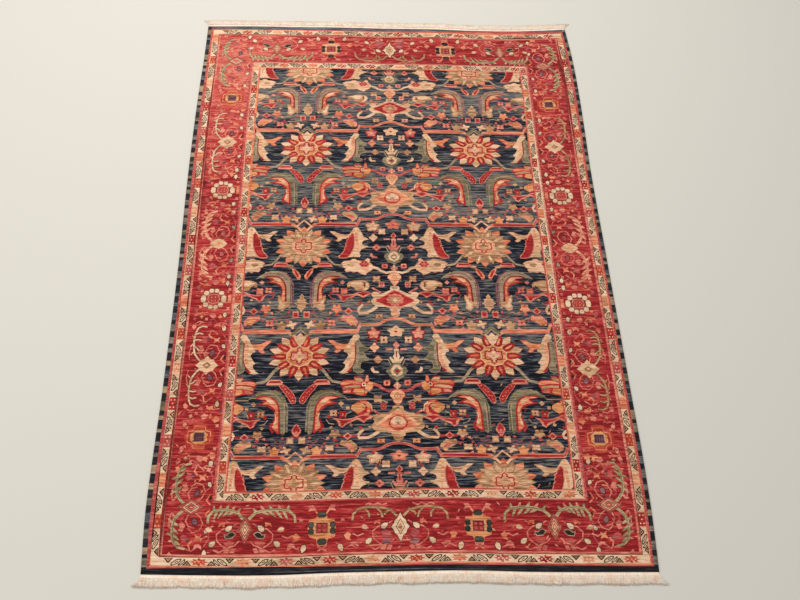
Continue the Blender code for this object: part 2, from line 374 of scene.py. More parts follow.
def leafMotifs(put, way, isA):
    # link from the rosette to the lying leaf
    put(way["link"], ribbon([(275, -28), (258, -42), (244, -62), (228, -80), (196, -86)], 11 if isA else 8,
                            9 if isA else 7))
    # lying leaf
    if isA:
        put("red", [(90, -84), (98, -80), (100, -58), (108, -57), (114, -80), (128, -64), (152, -64),
                    (150, -76), (168, -76), (188, -76), (202, -88), (196, -100), (190, -112), (190, -124),
                    (162, -126), (150, -128), (120, -134), (108, -132), (104, -122), (88, -112), (80, -90)])
        put("orange", [(84, -86), (98, -83), (110, -96), (113, -110), (112, -128), (104, -120), (94, -114),
                       (86, -104)])
        put("coral", [(99, -82), (102, -60), (108, -61), (113, -84)])
        put("tan", [(118, -82), (124, -72), (132, -68), (152, -68), (143, -83)])
        put("coral", [(126, -87), (150, -80), (176, -79), (190, -82), (200, -89), (192, -95), (160, -90),
                      (126, -91)])
        put("tan", [(128, -97), (148, -94), (180, -98), (192, -104), (188, -110), (160, -106), (128, -104)])
        put("orange", [(117, -108), (148, -108), (154, -120), (142, -127), (120, -131), (114, -122)])
        put("pink", [(160, -110), (176, -112), (188, -118), (184, -123), (162, -122)])
        put("cream", lobed(116, -93, 8, 4, 0.1, 1.0, math.radians(45)))
        put("dark", lozenge(116, -93, 5, 4))
    else:
        lying = [(80, -88), (84, -80), (94, -70), (92, -58), (100, -52), (108, -60), (112, -66), (126, -65),
                 (142, -62), (146, -56), (158, -56), (166, -63), (180, -65), (191, -68), (201, -76),
                 (192, -84), (195, -91), (186, -96), (180, -92), (186, -104), (180, -114), (165, -112),
                 (154, -116), (140, -112), (130, -118), (120, -123), (108, -127), (105, -119), (94, -112),
                 (84, -104)]
        put("pink", grown(lying, 1.5))
        put("cream", lying)
        put("peach", [(92, -98), (100, -76), (120, -72), (128, -90), (120, -104), (104, -108)])
        put("tan", [(148, -80), (160, -74), (178, -78), (176, -88), (158, -92)])
        put("pink", lobed(113, -79, 19, 6, 0.08, 0.78))
        for k in range(6):
            angle = math.radians(60 * k)
            put("red", lobed(113 + 12 * math.cos(angle), -79 + 9 * math.sin(angle), 5, 4, 0.1, 0.9))
        put("red", lozenge(113, -79, 5, 4))
    # leaf's stalk to the middle
    put(way["stalk"], ribbon([(84, -92), (62, -99), (50, -110), (30, -118), (12, -114), (0, -112)], 11, 9))
    # bracket under the rosette
    put(way["bracketEdge"], [(232, -92), (240, -76), (252, -72), (280, -73), (292, -82), (288, -93)])
    put(way["bracket"], [(240, -85), (246, -77), (282, -77), (286, -84)])
    if isA:
        low = [(278, -92), (292, -92), (304, -98), (318, -112), (330, -126), (338, -142), (336, -154),
               (326, -158), (318, -148), (306, -128), (288, -106)]
        put("pink", grown(low, 2.0))
        put("red", low)
        for x, y in [(292, -98), (300, -106), (306, -116), (314, -120), (318, -132), (326, -136),
                     (328, -148)]:
            put("pink", lozenge(x, y, 3.2, 3.2))
    else:
        put("tan", [(284, -88), (296, -84), (312, -88), (306, -98), (290, -96)])
        low = [(304, -96), (314, -100), (328, -112), (339, -132), (336, -146), (326, -148), (322, -136),
               (308, -118)]
        put("coral", low)
        put("red", [(310, -102), (318, -106), (328, -122), (332, -136), (326, -138), (320, -126)])


def curlMotifs(put, way, isA):
    # curled leaf
    put(way["curlRim"], ribbon([(262, -112), (284, -122), (300, -142), (311, -170), (313, -260)], 6))
    put(way["curlOuter"], [(172, -146), (182, -134), (200, -122), (208, -114), (216, -116), (224, -110),
                           (246, -110), (262, -112), (280, -122), (294, -138), (302, -154), (306, -180),
                           (308, -262), (302, -272), (292, -264), (288, -200), (284, -172), (276, -154),
                           (262, -140), (246, -134), (222, -132), (204, -140), (186, -140)])
    put(way["curlEdge"], ribbon([(300, -160), (303, -190), (304, -262)], 4))
    put(way["curlEdge"], ribbon([(200, -128), (226, -120), (250, -121), (272, -130), (288, -148)], 4))
    put(way["curlLine"], [(198, -137), (214, -131), (232, -131), (252, -133), (268, -142), (281, -160),
                          (287, -180), (290, -262), (284, -268), (268, -252), (252, -232), (262, -224),
                          (268, -200), (266, -182), (256, -176), (240, -166), (216, -162), (206, -158),
                          (226, -152), (232, -146), (214, -142)])
    put(way["curlInner"], [(206, -140), (228, -135), (248, -136), (264, -145), (276, -162), (281, -184),
                           (283, -256), (274, -252), (262, -238), (270, -222), (274, -200), (270, -180),
                           (262, -170), (248, -162), (224, -158), (238, -150), (238, -144)])
    put("cream", [(232, -140), (250, -141), (262, -148), (268, -158), (256, -158), (244, -150)])
    if isA:
        put("cream", [(268, -190), (274, -196), (276, -230), (270, -236), (266, -226), (272, -212)])
        put("red", ribbon([(252, -238), (258, -246), (266, -262)], 7))
    else:
        foot = [(258, -214), (268, -222), (278, -240), (288, -244), (300, -236), (304, -250), (296, -262),
                (286, -268), (276, -280), (264, -276), (258, -268), (262, -250), (256, -234)]
        put("tan", foot)
        put("cream", [(262, -226), (270, -234), (276, -250), (286, -256), (276, -270), (266, -268),
                      (266, -252), (260, -238)])
    # little flowers inside the curl
    star(put, way["pairLeft"], 189, -199, 13, 14, 4, way["pairLeftHeart"], 0.25)
    star(put, way["pairRight"], 221, -194, 13, 11, 4, "brick", 0.3)
    put(way["side4"], lobed(195, -160, 8, 4, 0.2, 0.9))


def swirlMotifs(put, way, isA):
    # flower with a swirl
    if isA:
        put("red", lobed(118, -178, 30, 7, 0.1, 0.95))
        put("coral", [(92, -176), (98, -158), (112, -152), (132, -150), (128, -158), (112, -162),
                      (104, -176), (106, -192), (118, -200), (136, -202), (120, -210), (100, -202)])
        put("orange", [(110, -170), (122, -160), (140, -158), (158, -166), (162, -178), (152, -188),
                       (138, -196), (124, -190), (116, -182)])
        put("tan", [(114, -172), (120, -162), (130, -164), (122, -176), (124, -188), (116, -184)])
        put("cream", ribbon([(88, -188), (92, -166), (104, -156)], 4))
    else:
        put("tan", [(92, -170), (100, -158), (112, -152), (130, -150), (152, -152), (170, -158),
                    (180, -168), (168, -172), (160, -180), (148, -182), (150, -194), (136, -198),
                    (116, -200), (104, -194), (96, -186)])
        put("cream", [(96, -172), (104, -160), (112, -158), (108, -172), (112, -188), (124, -196),
                      (108, -194), (100, -186)])
        put("cream", [(118, -170), (124, -156), (148, -156), (170, -166), (154, -170), (146, -178),
                      (128, -178)])
        put("olive", ribbon([(110, -160), (114, -172), (110, -182)], 5))
        put("brick", lozenge(112, -170, 4, 8))
    put("pink", ribbon([(52, -207), (68, -196), (84, -184)], 8))
    put("brick", ribbon([(60, -204), (76, -192)], 3))
    star(put, way["smallStar"], 68, -145, 14, 13, 4, None, 0.35, 45)
    put(way["smallDiamond"], lobed(49, -170, 12, 4, 0.15, 1.15, math.radians(45)))
    put("brick", lozenge(49, -170, 7, 9))
    put("pink", lozenge(49, -170, 4, 5))
    sprigs = [(150, -182, 6), (172, -176, 7), (204, -222, 6), (236, -206, 7), (160, -236, 6),
              (128, -246, 7), (96, -244, 6), (228, -244, 6)]
    for x, y, size in sprigs:
        put(("tan", "pink", "red", "cream")[(x - y) % 4], lobed(x, y, size, 4, 0.25, 0.9, x, 2))
    stems = [
        [(100, -252), (124, -258), (150, -250)], [(218, -232), (236, -228), (246, -214)],
        [(160, -190), (176, -196), (180, -208)],
    ]
    for stem in stems:
        put("ash" if isA else "rose", ribbon(stem, 3.2))
    # two red lying leaves
    put("pink", [(84, -206), (100, -201), (120, -200), (142, -205), (160, -212), (186, -215), (224, -210),
                 (208, -221), (202, -238), (189, -246), (178, -234), (160, -226), (140, -216), (128, -222),
                 (116, -228), (104, -218), (92, -214)])
    put("red", [(96, -207), (120, -204), (140, -208), (128, -214), (118, -221), (108, -213)])
    put("red", [(146, -212), (160, -217), (186, -219), (208, -214), (197, -223), (195, -236), (188, -240),
                (180, -228), (162, -221)])


def hookMotifs(put, way, isA):
    # cone on the rosettes' column
    if isA:
        put("pink", lobed(345, -255, 15, 4, 0.12, 1.7, math.radians(90)))
        put("red", lobed(345, -252, 10, 4, 0.15, 1.9, math.radians(90)))
        put("pink", lozenge(345, -262, 6, 10))
        put("red", ribbon([(330, -276), (338, -284), (345, -280)], 5))
    else:
        half = [(0, -212), (7, -222), (4, -230), (16, -236), (10, -243), (23, -250), (12, -256), (15, -266),
                (7, -270), (0, -284)]
        cone = [(345 + x, y) for x, y in mirrored(half)]
        put("cream", grown(cone, 1.5))
        put("tan", cone)
    # hook from the middle medallion, its bar and flower
    put(way["hook"], ribbon([(66, -262), (84, -277), (102, -287), (132, -289), (137, -279), (130, -266),
                             (118, -254)], 13, 9))
    put("pink", ribbon([(104, -283), (132, -284)], 3))
    put(way["hookBar"], ribbon([(138, -281), (198, -281)], 6 if not isA else 9))
    put("pink", lobed(172, -281, 13, 4, 0.2, 0.95))
    put("red", lozenge(172, -281, 10, 9))
    put(way["hookFlower"], lobed(215, -271, 17, 5, 0.22, 0.95, math.radians(54)))
    put("red", ribbon([(215, -262), (215, -256)], 5))


def innerMotifs(put, way, isA):
    # small things between the middle and the sail
    star(put, way["side1Edge"], 80, 96, 24, 22, 5, None, 0.22, 90)
    star(put, way["side1"], 80, 96, 19, 17, 5, way["axis1"], 0.26, 90)
    put(way["side6"], ribbon([(64, 82), (70, 68), (80, 60)], 6))
    put("red" if not isA else "tan", ribbon([(84, 112), (86, 122)], 9))
    star(put, way["side2"], 44, 72, 14, 14, 4, "brick" if isA else None, 0.25, 45)
    star(put, way["side3"], 78, 43, 14, 15, 4, None, 0.25, 90)
    put("ash", ribbon([(26, -2), (112, -2)], 4))
    star(put, way["side4"], 66, -3, 14, 12, 4, "tan" if isA else "brick", 0.2, 0)
    put(way["side5"], [(62, -52), (66, -45), (78, -44), (84, -28), (92, -34), (90, -44), (82, -52)])
    star(put, "pink", 36, -88, 12, 11, 4, "red", 0.15, 45)
    put("red", lozenge(36, -88, 7, 6))
    put("pink", ribbon([(14, 36), (38, 36)], 7))
    put("ash", ribbon([(20, -24), (26, -10), (30, -2)], 4))
    if isA:
        put("ash", ribbon([(34, -158), (60, -147), (110, -146), (176, -146)], 5))
        put("slate", ribbon([(118, -110), (60, -136)], 4))


fieldMotifs = (barMotifs, sailMotifs, leafMotifs, curlMotifs, swirlMotifs, hookMotifs, innerMotifs)


def axisMotifs(put, way, isA):
    # what stands on the middle line
    def putBoth(yarn, right):
        put(yarn, mirrored(right))

    put(way["axis1Edge"], lobed(0, 104, 27, 5, 0.22, 0.72, math.radians(90)))
    put(way["axis1"], lobed(0, 104, 18, 5, 0.22, 0.72, math.radians(90)))
    put("red", lozenge(0, 104, 7, 5))
    put("pink", lozenge(0, 52, 12, 16))
    put(way["axis2"], lozenge(0, 52, 8, 11))
    put(way["axis3"], [(-9, 38), (9, 38), (7, 20), (12, 10), (8, -4), (22, 8), (26, 4), (14, -16),
                       (-14, -16), (-26, 4), (-22, 8), (-8, -4), (-12, 10), (-7, 20)])
    put("brick", ribbon([(0, 30), (0, 6)], 4))
    put(way["axis4"], [(-10, -14), (10, -14), (18, -26), (32, -32), (38, -46), (30, -56), (24, -68),
                       (10, -74), (0, -84), (-10, -74), (-24, -68), (-30, -56), (-38, -46), (-32, -32),
                       (-18, -26)])
    put("cream", [(-8, -22), (8, -22), (22, -40), (18, -58), (0, -68), (-18, -58), (-22, -40)])
    put(way["axis4"], lozenge(0, -46, 14, 16))
    put(way["axis4Heart"], lozenge(0, -46, 9, 7))
    put(way["axis5"], lobed(0, -98, 12, 4, 0.2, 1.0, math.radians(90)))
    put("red", lozenge(0, -98, 5, 5))
    put("cream", ribbon([(0, -84), (0, -128)], 5))
    drop = [(0, 27), (13, 25), (24, 14), (25, 4), (16, -6), (13, -16), (5, -26), (0, -31)]
    dropAt = -139 if isA else -145
    putBoth("red", grown([(x, dropAt + y) for x, y in drop], 1.5))
    putBoth(way["axis6Edge"], [(x, dropAt + y) for x, y in drop])
    put(way["axis6"], lozenge(0, dropAt + 3, 13, 16))
    put("peach", lozenge(0, dropAt + 3, 9, 11))
    put("tan" if isA else "coral", lozenge(0, dropAt + 3, 4, 6))
    if isA:
        putBoth("tan", [(0, -165), (14, -169), (19, -176), (19, -184), (28, -190), (40, -195), (56, -194),
                        (58, -203), (72, -199), (86, -204), (84, -215), (79, -225), (89, -235), (86, -248),
                        (78, -257), (64, -265), (40, -267), (22, -270), (25, -279), (15, -285), (18, -292),
                        (8, -300), (0, -310)])
        putBoth("sage", [(0, -172), (6, -176), (7, -184), (0, -188)])
        for side in (-1, 1):
            put("khaki", ribbon([(side * 66, -210), (side * 76, -214), (side * 72, -224)], 5))
        putBoth("peach", [(0, -180), (22, -194), (48, -212), (74, -234), (56, -250), (28, -262), (0, -270)])
        putBoth("coral", [(0, -188), (18, -198), (34, -214), (60, -235), (36, -249), (18, -257), (0, -261)])
        put("brick", ribbon([(-30, -226), (-20, -210), (0, -203), (20, -210), (30, -226)], 3))
        putBoth("peach", [(0, -206), (14, -210), (24, -222), (28, -232), (0, -236)])
        put("red", ribbon([(-30, -224), (-28, -240), (-13, -252), (13, -252), (28, -240), (30, -224)], 5))
        put("pink", [(-25, -236), (25, -236), (16, -247), (0, -250), (-16, -247)])
        for side in (-1, 1):
            put("ivory", [(side * 7, -233), (side * 11, -222), (side * 22, -216), (side * 25, -226),
                          (side * 17, -235)])
        put("ivory", lobed(0, -217, 10, 6, 0.04, 1.0))
        put("ash", lozenge(0, -230, 5, 8))
    else:
        putBoth("cream", [(0, -176), (14, -177), (18, -186), (15, -193), (27, -199), (42, -207), (56, -213),
                          (61, -204), (78, -202), (87, -210), (84, -220), (77, -228), (89, -240),
                          (85, -251), (74, -257), (60, -264), (36, -265), (21, -269), (18, -279),
                          (13, -283), (17, -290), (14, -299), (0, -309)])
        put("ash", [(-11, -180), (11, -180), (9, -189), (-9, -189)])
        lens = [(0, -197), (16, -205), (40, -222), (67, -236), (66, -243), (48, -250), (34, -258),
                (18, -262), (4, -262), (0, -258)]
        putBoth("pink", grown(lens, 3))
        putBoth("red", lens)
        put("pink", lobed(0, -235, 31, 9, 0.1, 0.76, math.radians(90)))
        put("tan", lobed(0, -237, 18, 7, 0.16, 0.8, math.radians(90)))
        put("cream", lobed(0, -237, 8, 4, 0.2, 0.9))
        put("pink", ribbon([(0, -252), (0, -276)], 6))
        put("peach", lobed(0, -291, 14, 6, 0.05, 1.0))


# Where rosettes and medallions lie: how far down the pattern, and how far along the kilim
rowPlaces = (
    (235, 1135), (0, 915), (-235, 712), (-466, 478), (-701, 239), (-932, 15), (-1167, -216), (-1398, -457),
    (-1633, -703), (-1864, -903), (-2099, -1120),
)


def alongAt(pattern):
    for (upper, upperAlong), (lower, lowerAlong) in zip(rowPlaces, rowPlaces[1:]):
        if pattern >= lower:
            share = (pattern - lower) / (upper - lower)
            return lowerAlong + share * (upperAlong - lowerAlong)
    return rowPlaces[-1][1]


field = {
    "halfWidth": 570,
    "near": -928,
    "far": 934,
    "column": 345,  # of the rosettes
    "drawnIn": 0.985,
    "toRight": 1.5,
    "rowStep": 466,
    "rows": 5,
    "dashes": 300,
    "dashSeed": 3,
    "dashYarns": ["slate", "slate", "grey", "pine", "ash", "navyFar", "navyEnd", "navyEnd"],
    "sprigs": 300,
    "sprigSeed": 12,
    "sprigYarns": ["slate", "rose", "tan", "ash", "brick", "grey", "sage", "pink"],
}


def layDashes(rng, count, yarns, left, right, near, far):
    # short lengths of another lot of wool, where the weaver changed bobbins
    for _ in range(count):
        x, y = rng.uniform(left, right), rng.uniform(near, far)
        run, rise = rng.uniform(10, 46), rng.uniform(1.5, 2.5)
        dash = [(x - run, y), (x - run * 0.4, y - rise), (x + run * 0.5, y - rise * 0.7), (x + run, y),
                (x + run * 0.3, y + rise), (x - run * 0.5, y + rise * 0.6)]
        weave(rng.choice(yarns), dash, True)


def layField():
    weave("navy", [(-600, -960), (600, -960), (600, 965), (-600, 965)])
    layDashes(random.Random(field["dashSeed"]), field["dashes"], field["dashYarns"], -540, 540, -915, 925)
    laySprigs(random.Random(field["sprigSeed"]), field["sprigs"], field["sprigYarns"], True)
    for row in range(field["rows"]):
        isA = row % 2 == 1
        way = wayA if isA else wayB
        for mirror in (1, -1):
            for far in (False, True):
                def put(yarn, outline):  # mirrored in the middle line, the rosettes' column or both
                    placed = []
                    for x, y in outline:
                        if far:
                            x = 2 * field["column"] - x
                        x = mirror * x * field["drawnIn"] + field["toRight"]
                        placed.append((x, alongAt(y - row * field["rowStep"])))
                    xs = [abs(p[0]) for p in placed]
                    ys = [p[1] for p in placed]
                    if min(xs) < field["halfWidth"] and max(ys) > field["near"] and min(ys) < field["far"]:
                        weave(yarn, placed)
                for motifs in fieldMotifs:
                    motifs(put, way, isA)
                if not far:
                    rosette(put, way, isA)

        def putMiddle(yarn, outline):
            placed = [(x + field["toRight"], alongAt(y - row * field["rowStep"])) for x, y in outline]
            ys = [p[1] for p in placed]
            if max(ys) > field["near"] and min(ys) < field["far"]:
                weave(yarn, placed)
        axisMotifs(putMiddle, way, isA)


def bud(put, x, y, size, yarn, edge, turn):  # turned by degrees
    drop = [(-1.3, 0), (-0.4, -0.7), (0.6, -0.75), (1.2, 0), (0.6, 0.75), (-0.4, 0.7)]
    drop = [(size * px, size * py) for px, py in drop]
    put(edge, turned(grown(drop, 2.2), math.radians(turn), x, y))
    put(yarn, turned(drop, math.radians(turn), x, y))


def nestedLozenge(put, halfAcross, halfAlong, rings):
    for share, yarn in rings:
        put(yarn, lozenge(0, 0, halfAcross * share, halfAlong * share))


# Rings of the lozenges from outside in, each with its share of the size
lozengeRings = {
    "corner": [(1.0, "olive"), (0.9, "rose"), (0.7, "brick"), (0.64, "cream"), (0.5, "olive"),
               (0.42, "pink"), (0.26, "brick"), (0.18, "pink")],
    "cream": [(0.62, "tan"), (0.42, "olive"), (0.3, "peach")],
    "small": [(0.78, "peach"), (0.4, "orange")],
    "tall": [(1.0, "olive"), (0.9, "rose"), (0.74, "brick"), (0.66, "tan"), (0.5, "brick"), (0.42, "cream"),
             (0.3, "rose"), (0.16, "cream")],
    "ivory": [(1.0, "olive"), (0.84, "cream"), (0.5, "tan")],
}


def leaf(base, tip, width):  # a leaf that swells in the middle
    dx, dy = tip[0] - base[0], tip[1] - base[1]
    length = math.hypot(dx, dy) or 1.0
    ax, ay = -dy / length * width / 2, dx / length * width / 2
    at = [(base[0] + dx * share, base[1] + dy * share) for share in (0.0, 0.35, 0.7, 1.0)]
    return [
        (at[0][0] + ax * 0.6, at[0][1] + ay * 0.6), (at[1][0] + ax, at[1][1] + ay),
        (at[2][0] + ax * 0.8, at[2][1] + ay * 0.8), at[3],
        (at[2][0] - ax * 0.8, at[2][1] - ay * 0.8), (at[1][0] - ax, at[1][1] - ay),
        (at[0][0] - ax * 0.6, at[0][1] - ay * 0.6),
    ]


def thinBranch(put, yarn, edge):
    main = [(22, 12), (34, 26), (46, 44), (51, 62), (53, 96), (50, 128), (42, 146), (28, 153), (12, 150)]
    if edge:
        put(edge, ribbon(main, 10, 9))
    put(yarn, ribbon(main, 6.5, 6))
    for base, middle, tip in (((52, 72), (40, 66), (30, 52)), ((53, 96), (40, 100), (24, 96)),
                              ((51, 120), (38, 126), (24, 122))):
        put(edge or yarn, ribbon([base, middle, tip], 9, 8))
        put(yarn, ribbon([base, middle, tip], 5.5, 5))
    for base, tip in (((48, 54), (60, 40)), ((53, 84), (64, 72)), ((52, 108), (62, 116))):
        put(yarn, ribbon([base, tip], 5, 3))


def feathered(put, main, fingers, pinkOnes, yarn, edge, tip, margin):
    # a branch with a leaf at each finger, first wider in the edge's yarn and then in its own
    for finger in fingers:
        put(edge, grown(leaf(*finger, 8.5), margin))
    put(edge, ribbon(main, 10 + 2 * margin, tip + 2 * margin))
    for k, finger in enumerate(fingers):
        put("pink" if k in pinkOnes else yarn, leaf(*finger, 8.5))
    put(yarn, ribbon(main, 10, tip))


def leafyBranch(put, yarn, edge, reach=1.0):
    main = [(24, 12), (38, 26), (50, 46), (55, 74), (54, 104), (48, 130), (34, 146), (12, 152)]
    main = [(x, y * reach) for x, y in main]
    fingers = [((46, 40), (62, 18)), ((53, 60), (71, 40)), ((55, 82), (72, 66)), ((54, 102), (72, 96)),
               ((50, 122), (66, 126)), ((53, 56), (34, 72)), ((55, 78), (33, 98)), ((53, 100), (30, 122)),
               ((48, 122), (26, 138))]
    fingers = [[(x, y * reach) for x, y in finger] for finger in fingers]
    feathered(put, main, fingers, (0, 2, 4), yarn, edge, 7, 1.7)
    put("pink" if yarn == "peach" else "sage", ribbon([(x - 1.5, y) for x, y in main[1:-1]], 3.0))


def borderSmalls(put, rich):
    # buds, leaves and thin stems of one half of a unit, on its inner side
    put("pink", ribbon([(-12, 16), (-30, 30), (-40, 52), (-30, 74), (-8, 80), (6, 66)], 3.8))
    put("pink", ribbon([(6, 24), (14, 44), (4, 62), (-14, 66)], 3.8))
    put("rose", ribbon([(-40, 52), (-58, 66), (-60, 100), (-46, 124)], 4.2))
    bud(put, -52, 74, 8, "ivory" if rich else "ash", "dark", 60)
    bud(put, -14, 46, 10, "mauve" if rich else "rose", "dark", 110)
    put("pink", [(14, 58), (24, 48), (36, 54), (30, 64), (36, 74), (22, 78), (18, 68)])
    put("coral", [(-38, 86), (-28, 92), (-16, 84), (-20, 96), (-12, 108), (-26, 104), (-38, 110),
                  (-34, 98)])
    put("rose", [(6, 92), (20, 86), (30, 96), (22, 104), (26, 114), (10, 110)])
    put("mauve", [(-2, 100), (8, 96), (12, 104), (2, 110)])
    put("coral", ribbon([(-10, 104), (2, 118), (-4, 136)], 7, 4))
    bud(put, -48, 144, 9, "ivory", "dark", 90)
    put("pink", ribbon([(-30, 120), (-8, 138), (12, 130)], 4))
    put("coral", [(-34, 150), (-22, 156), (-12, 148), (-14, 162), (-26, 168), (-36, 162)])
    put("pink", ribbon([(62, 20), (66, 50), (60, 70)], 3.4))
    put("dark", lozenge(-58, 30, 5, 9))
    put("coral", ribbon([(-60, 8), (-46, 22), (-56, 40)], 6, 4))
    put("rose", ribbon([(22, 30), (30, 42), (26, 52)], 4))
    put("pink", [(52, 148), (60, 140), (66, 150), (60, 162), (50, 158)])


def borderSprigs(put):  # small things between the motifs of a side border
    flowers = [(-56, 40, 6, "pink"), (44, 34, 6, "coral"), (-30, 74, 7, "coral"), (18, 84, 6, "pink"),
               (60, 82, 6, "rose"), (-62, 92, 5, "mauve"), (36, 74, 6, "tan"), (4, 100, 7, "rose"),
               (-44, 112, 7, "pink"), (56, 108, 7, "coral")]
    for w, s, size, yarn in flowers:
        put(yarn, lobed(w, s, size, 4, 0.3, 1.1, s, 2))
    put("pink", ribbon([(-64, 60), (-50, 66), (-36, 60)], 3.4))
    put("coral", ribbon([(24, 66), (34, 56), (50, 60), (60, 52)], 3.4))
    put("rose", ribbon([(-20, 92), (-8, 84), (8, 88)], 3.4))
    put("pink", ribbon([(26, 98), (40, 92), (50, 98)], 3.4))
    put("pink", ribbon([(-58, 102), (-34, 98), (-22, 108)], 3.4))


def squareFlower(put):
    put("orangeRed", halfTurned([(-22, -46), (-6, -50), (6, -50), (22, -46), (24, -30), (42, -26), (48, -8),
                                 (48, 8), (42, 26), (24, 30)]))
    put("coral", halfTurned([(-18, -40), (18, -40), (21, -24), (38, -20), (40, 0), (38, 20), (21, 24)]))
    put("orangeRed", halfTurned([(-16, -37), (16, -37), (19, -21), (35, -18), (37, 0), (35, 18), (19, 21)]))
    put("brick", lobed(0, 0, 31, 8, 0.07, 0.93, math.radians(22.5), 4))
    put("orange", lobed(0, 0, 29, 8, 0.07, 0.93, math.radians(22.5), 4))
    put("tan", box(0, 0, 20, 18))
    put("plum", box(0, 0, 16, 14.5))
    for x in (-8, 0, 8):
        for y in (-7, 0, 7):
            put("mauve", box(x, y, 1.8, 1.6))


def octagonFlower(put):
    lobes = [(37, 0, 10, 16), (-37, 0, 10, 16)]
    lobes += [(sx * 9.5, sy * 34, 9, 9) for sx in (-1, 1) for sy in (-1, 1)]
    lobes += [(sx * 27, sy * 24, 10, 10) for sx in (-1, 1) for sy in (-1, 1)]
    for yarn, margin in (("olive", 1.6), ("ivory", 0)):
        for x, y, halfWidth, halfHeight in lobes:
            reach = halfWidth + margin
            put(yarn, lobed(x, y, reach, 4, 0.06, (halfHeight + margin) / reach, math.radians(45), 2))
    put("olive", lobed(0, 0, 26.5, 4, 0.07, 0.92, math.radians(45), 2))
    put("pink", lobed(0, 0, 24.5, 4, 0.07, 0.92, math.radians(45), 2))
    put("brick", lobed(0, 0, 20.5, 4, 0.07, 0.92, math.radians(45), 2))
    put("rose", lobed(0, 0, 18, 4, 0.07, 0.92, math.radians(45), 2))
    for x in (-6.5, 6.5):
        for y in (-6.5, 6.5):
            put("red", box(x, y, 5.4, 5.2))
            put("coral", lozenge(x, y, 3.4, 3.4))


def crossFlower(put, body, blocks):
    # of the end borders: along the border is x, towards the field is y
    put("coral", [(-14, 48), (14, 48), (18, 32), (40, 28), (44, 0), (40, -28), (18, -34), (14, -56),
                  (-14, -56), (-18, -34), (-40, -28), (-44, 0), (-40, 28), (-18, 32)])
    put(body, [(-12, 44), (12, 44), (16, 29), (37, 25), (41, 0), (37, -25), (16, -31), (12, -50),
               (-12, -50), (-16, -31), (-37, -25), (-41, 0), (-37, 25), (-16, 29)])
    places = [(0, 42, 13, 7), (0, -43, 13, 8), (-34, 10, 7, 8), (-34, -10, 7, 8), (34, 10, 7, 8),
              (34, -10, 7, 8)]
    for x, y, halfWidth, halfHeight in places:
        block = [(x - halfWidth, y - halfHeight * 0.5), (x - halfWidth * 0.6, y - halfHeight),
                 (x + halfWidth * 0.6, y - halfHeight), (x + halfWidth, y - halfHeight * 0.5)]
        block += [(2 * x - px, 2 * y - py) for px, py in block]
        put("dark", grown(block, 1.8))
        put(blocks, block)
    put("tan", box(0, 0, 22, 20))
    put("brick", box(0, 0, 18, 16.5))
    for x in (-8, 8):
        for y in (-7, 7):
            put("rose", box(x, y, 4.5, 4))
    put("pink", ribbon([(-14, -72), (0, -62), (14, -72)], 6))
    put("pink", ribbon([(-14, -56), (0, -64), (14, -56)], 6))
    for side in (-1, 1):
        put("pink", [(side * 18, 58), (side * 28, 74), (side * 44, 72), (side * 38, 64), (side * 44, 54),
                     (side * 30, 56)])
        put("coral", ribbon([(side * 14, 46), (side * 26, 62)], 5))
        bud(put, side * 58, -62, 11, "cream", "dark", 90 + side * 20)
        put("pink", ribbon([(side * 70, -66), (side * 92, -56), (side * 110, -66)], 4))
        put("coral", [(side * 68, -24), (side * 80, -14), (side * 92, -22), (side * 86, -32),
                      (side * 92, -42), (side * 76, -38)])
        put("pink", ribbon([(side * 60, 30), (side * 70, 22)], 4))
        put("pink", ribbon([(side * 60, 22), (side * 70, 30)], 4))


def hangingBranch(put, leafy, reach):
    # of the end borders, from the lozenge's inner tip and along the field
    main = [(10, 34), (30, 54), (60, 62), (100, 64), (132, 58), (148, 42), (151, 20)]
    main = [(x * reach, y) for x, y in main]
    if not leafy:
        put("olive", ribbon(main, 11, 10))
        put("tan", ribbon(main, 7, 6.5))
        for points in (((74, 62), (60, 46), (56, 30)), ((112, 61), (98, 44), (98, 30)),
                       ((30, 54), (46, 46), (50, 38))):
            points = [(x * reach, y) for x, y in points]
            put("olive", ribbon(points, 9, 9))
            put("tan", ribbon(points, 5.5, 5.5))
        put("pink", ribbon([(40, 76), (56, 70), (70, 76), (84, 70), (98, 76), (110, 71)], 5))
        return
    fingers = [((34, 54), (20, 70)), ((56, 62), (42, 78)), ((80, 64), (68, 80)), ((104, 64), (98, 81)),
               ((126, 60), (130, 77)), ((48, 58), (74, 46)), ((68, 62), (92, 40)), ((90, 63), (112, 34)),
               ((112, 62), (128, 30))]
    fingers = [[(x * reach, y) for x, y in finger] for finger in fingers]
    feathered(put, main, fingers, (1, 3), "khaki", "brick", 8, 1.6)
    put("sage", ribbon(main[1:-2], 3.0))


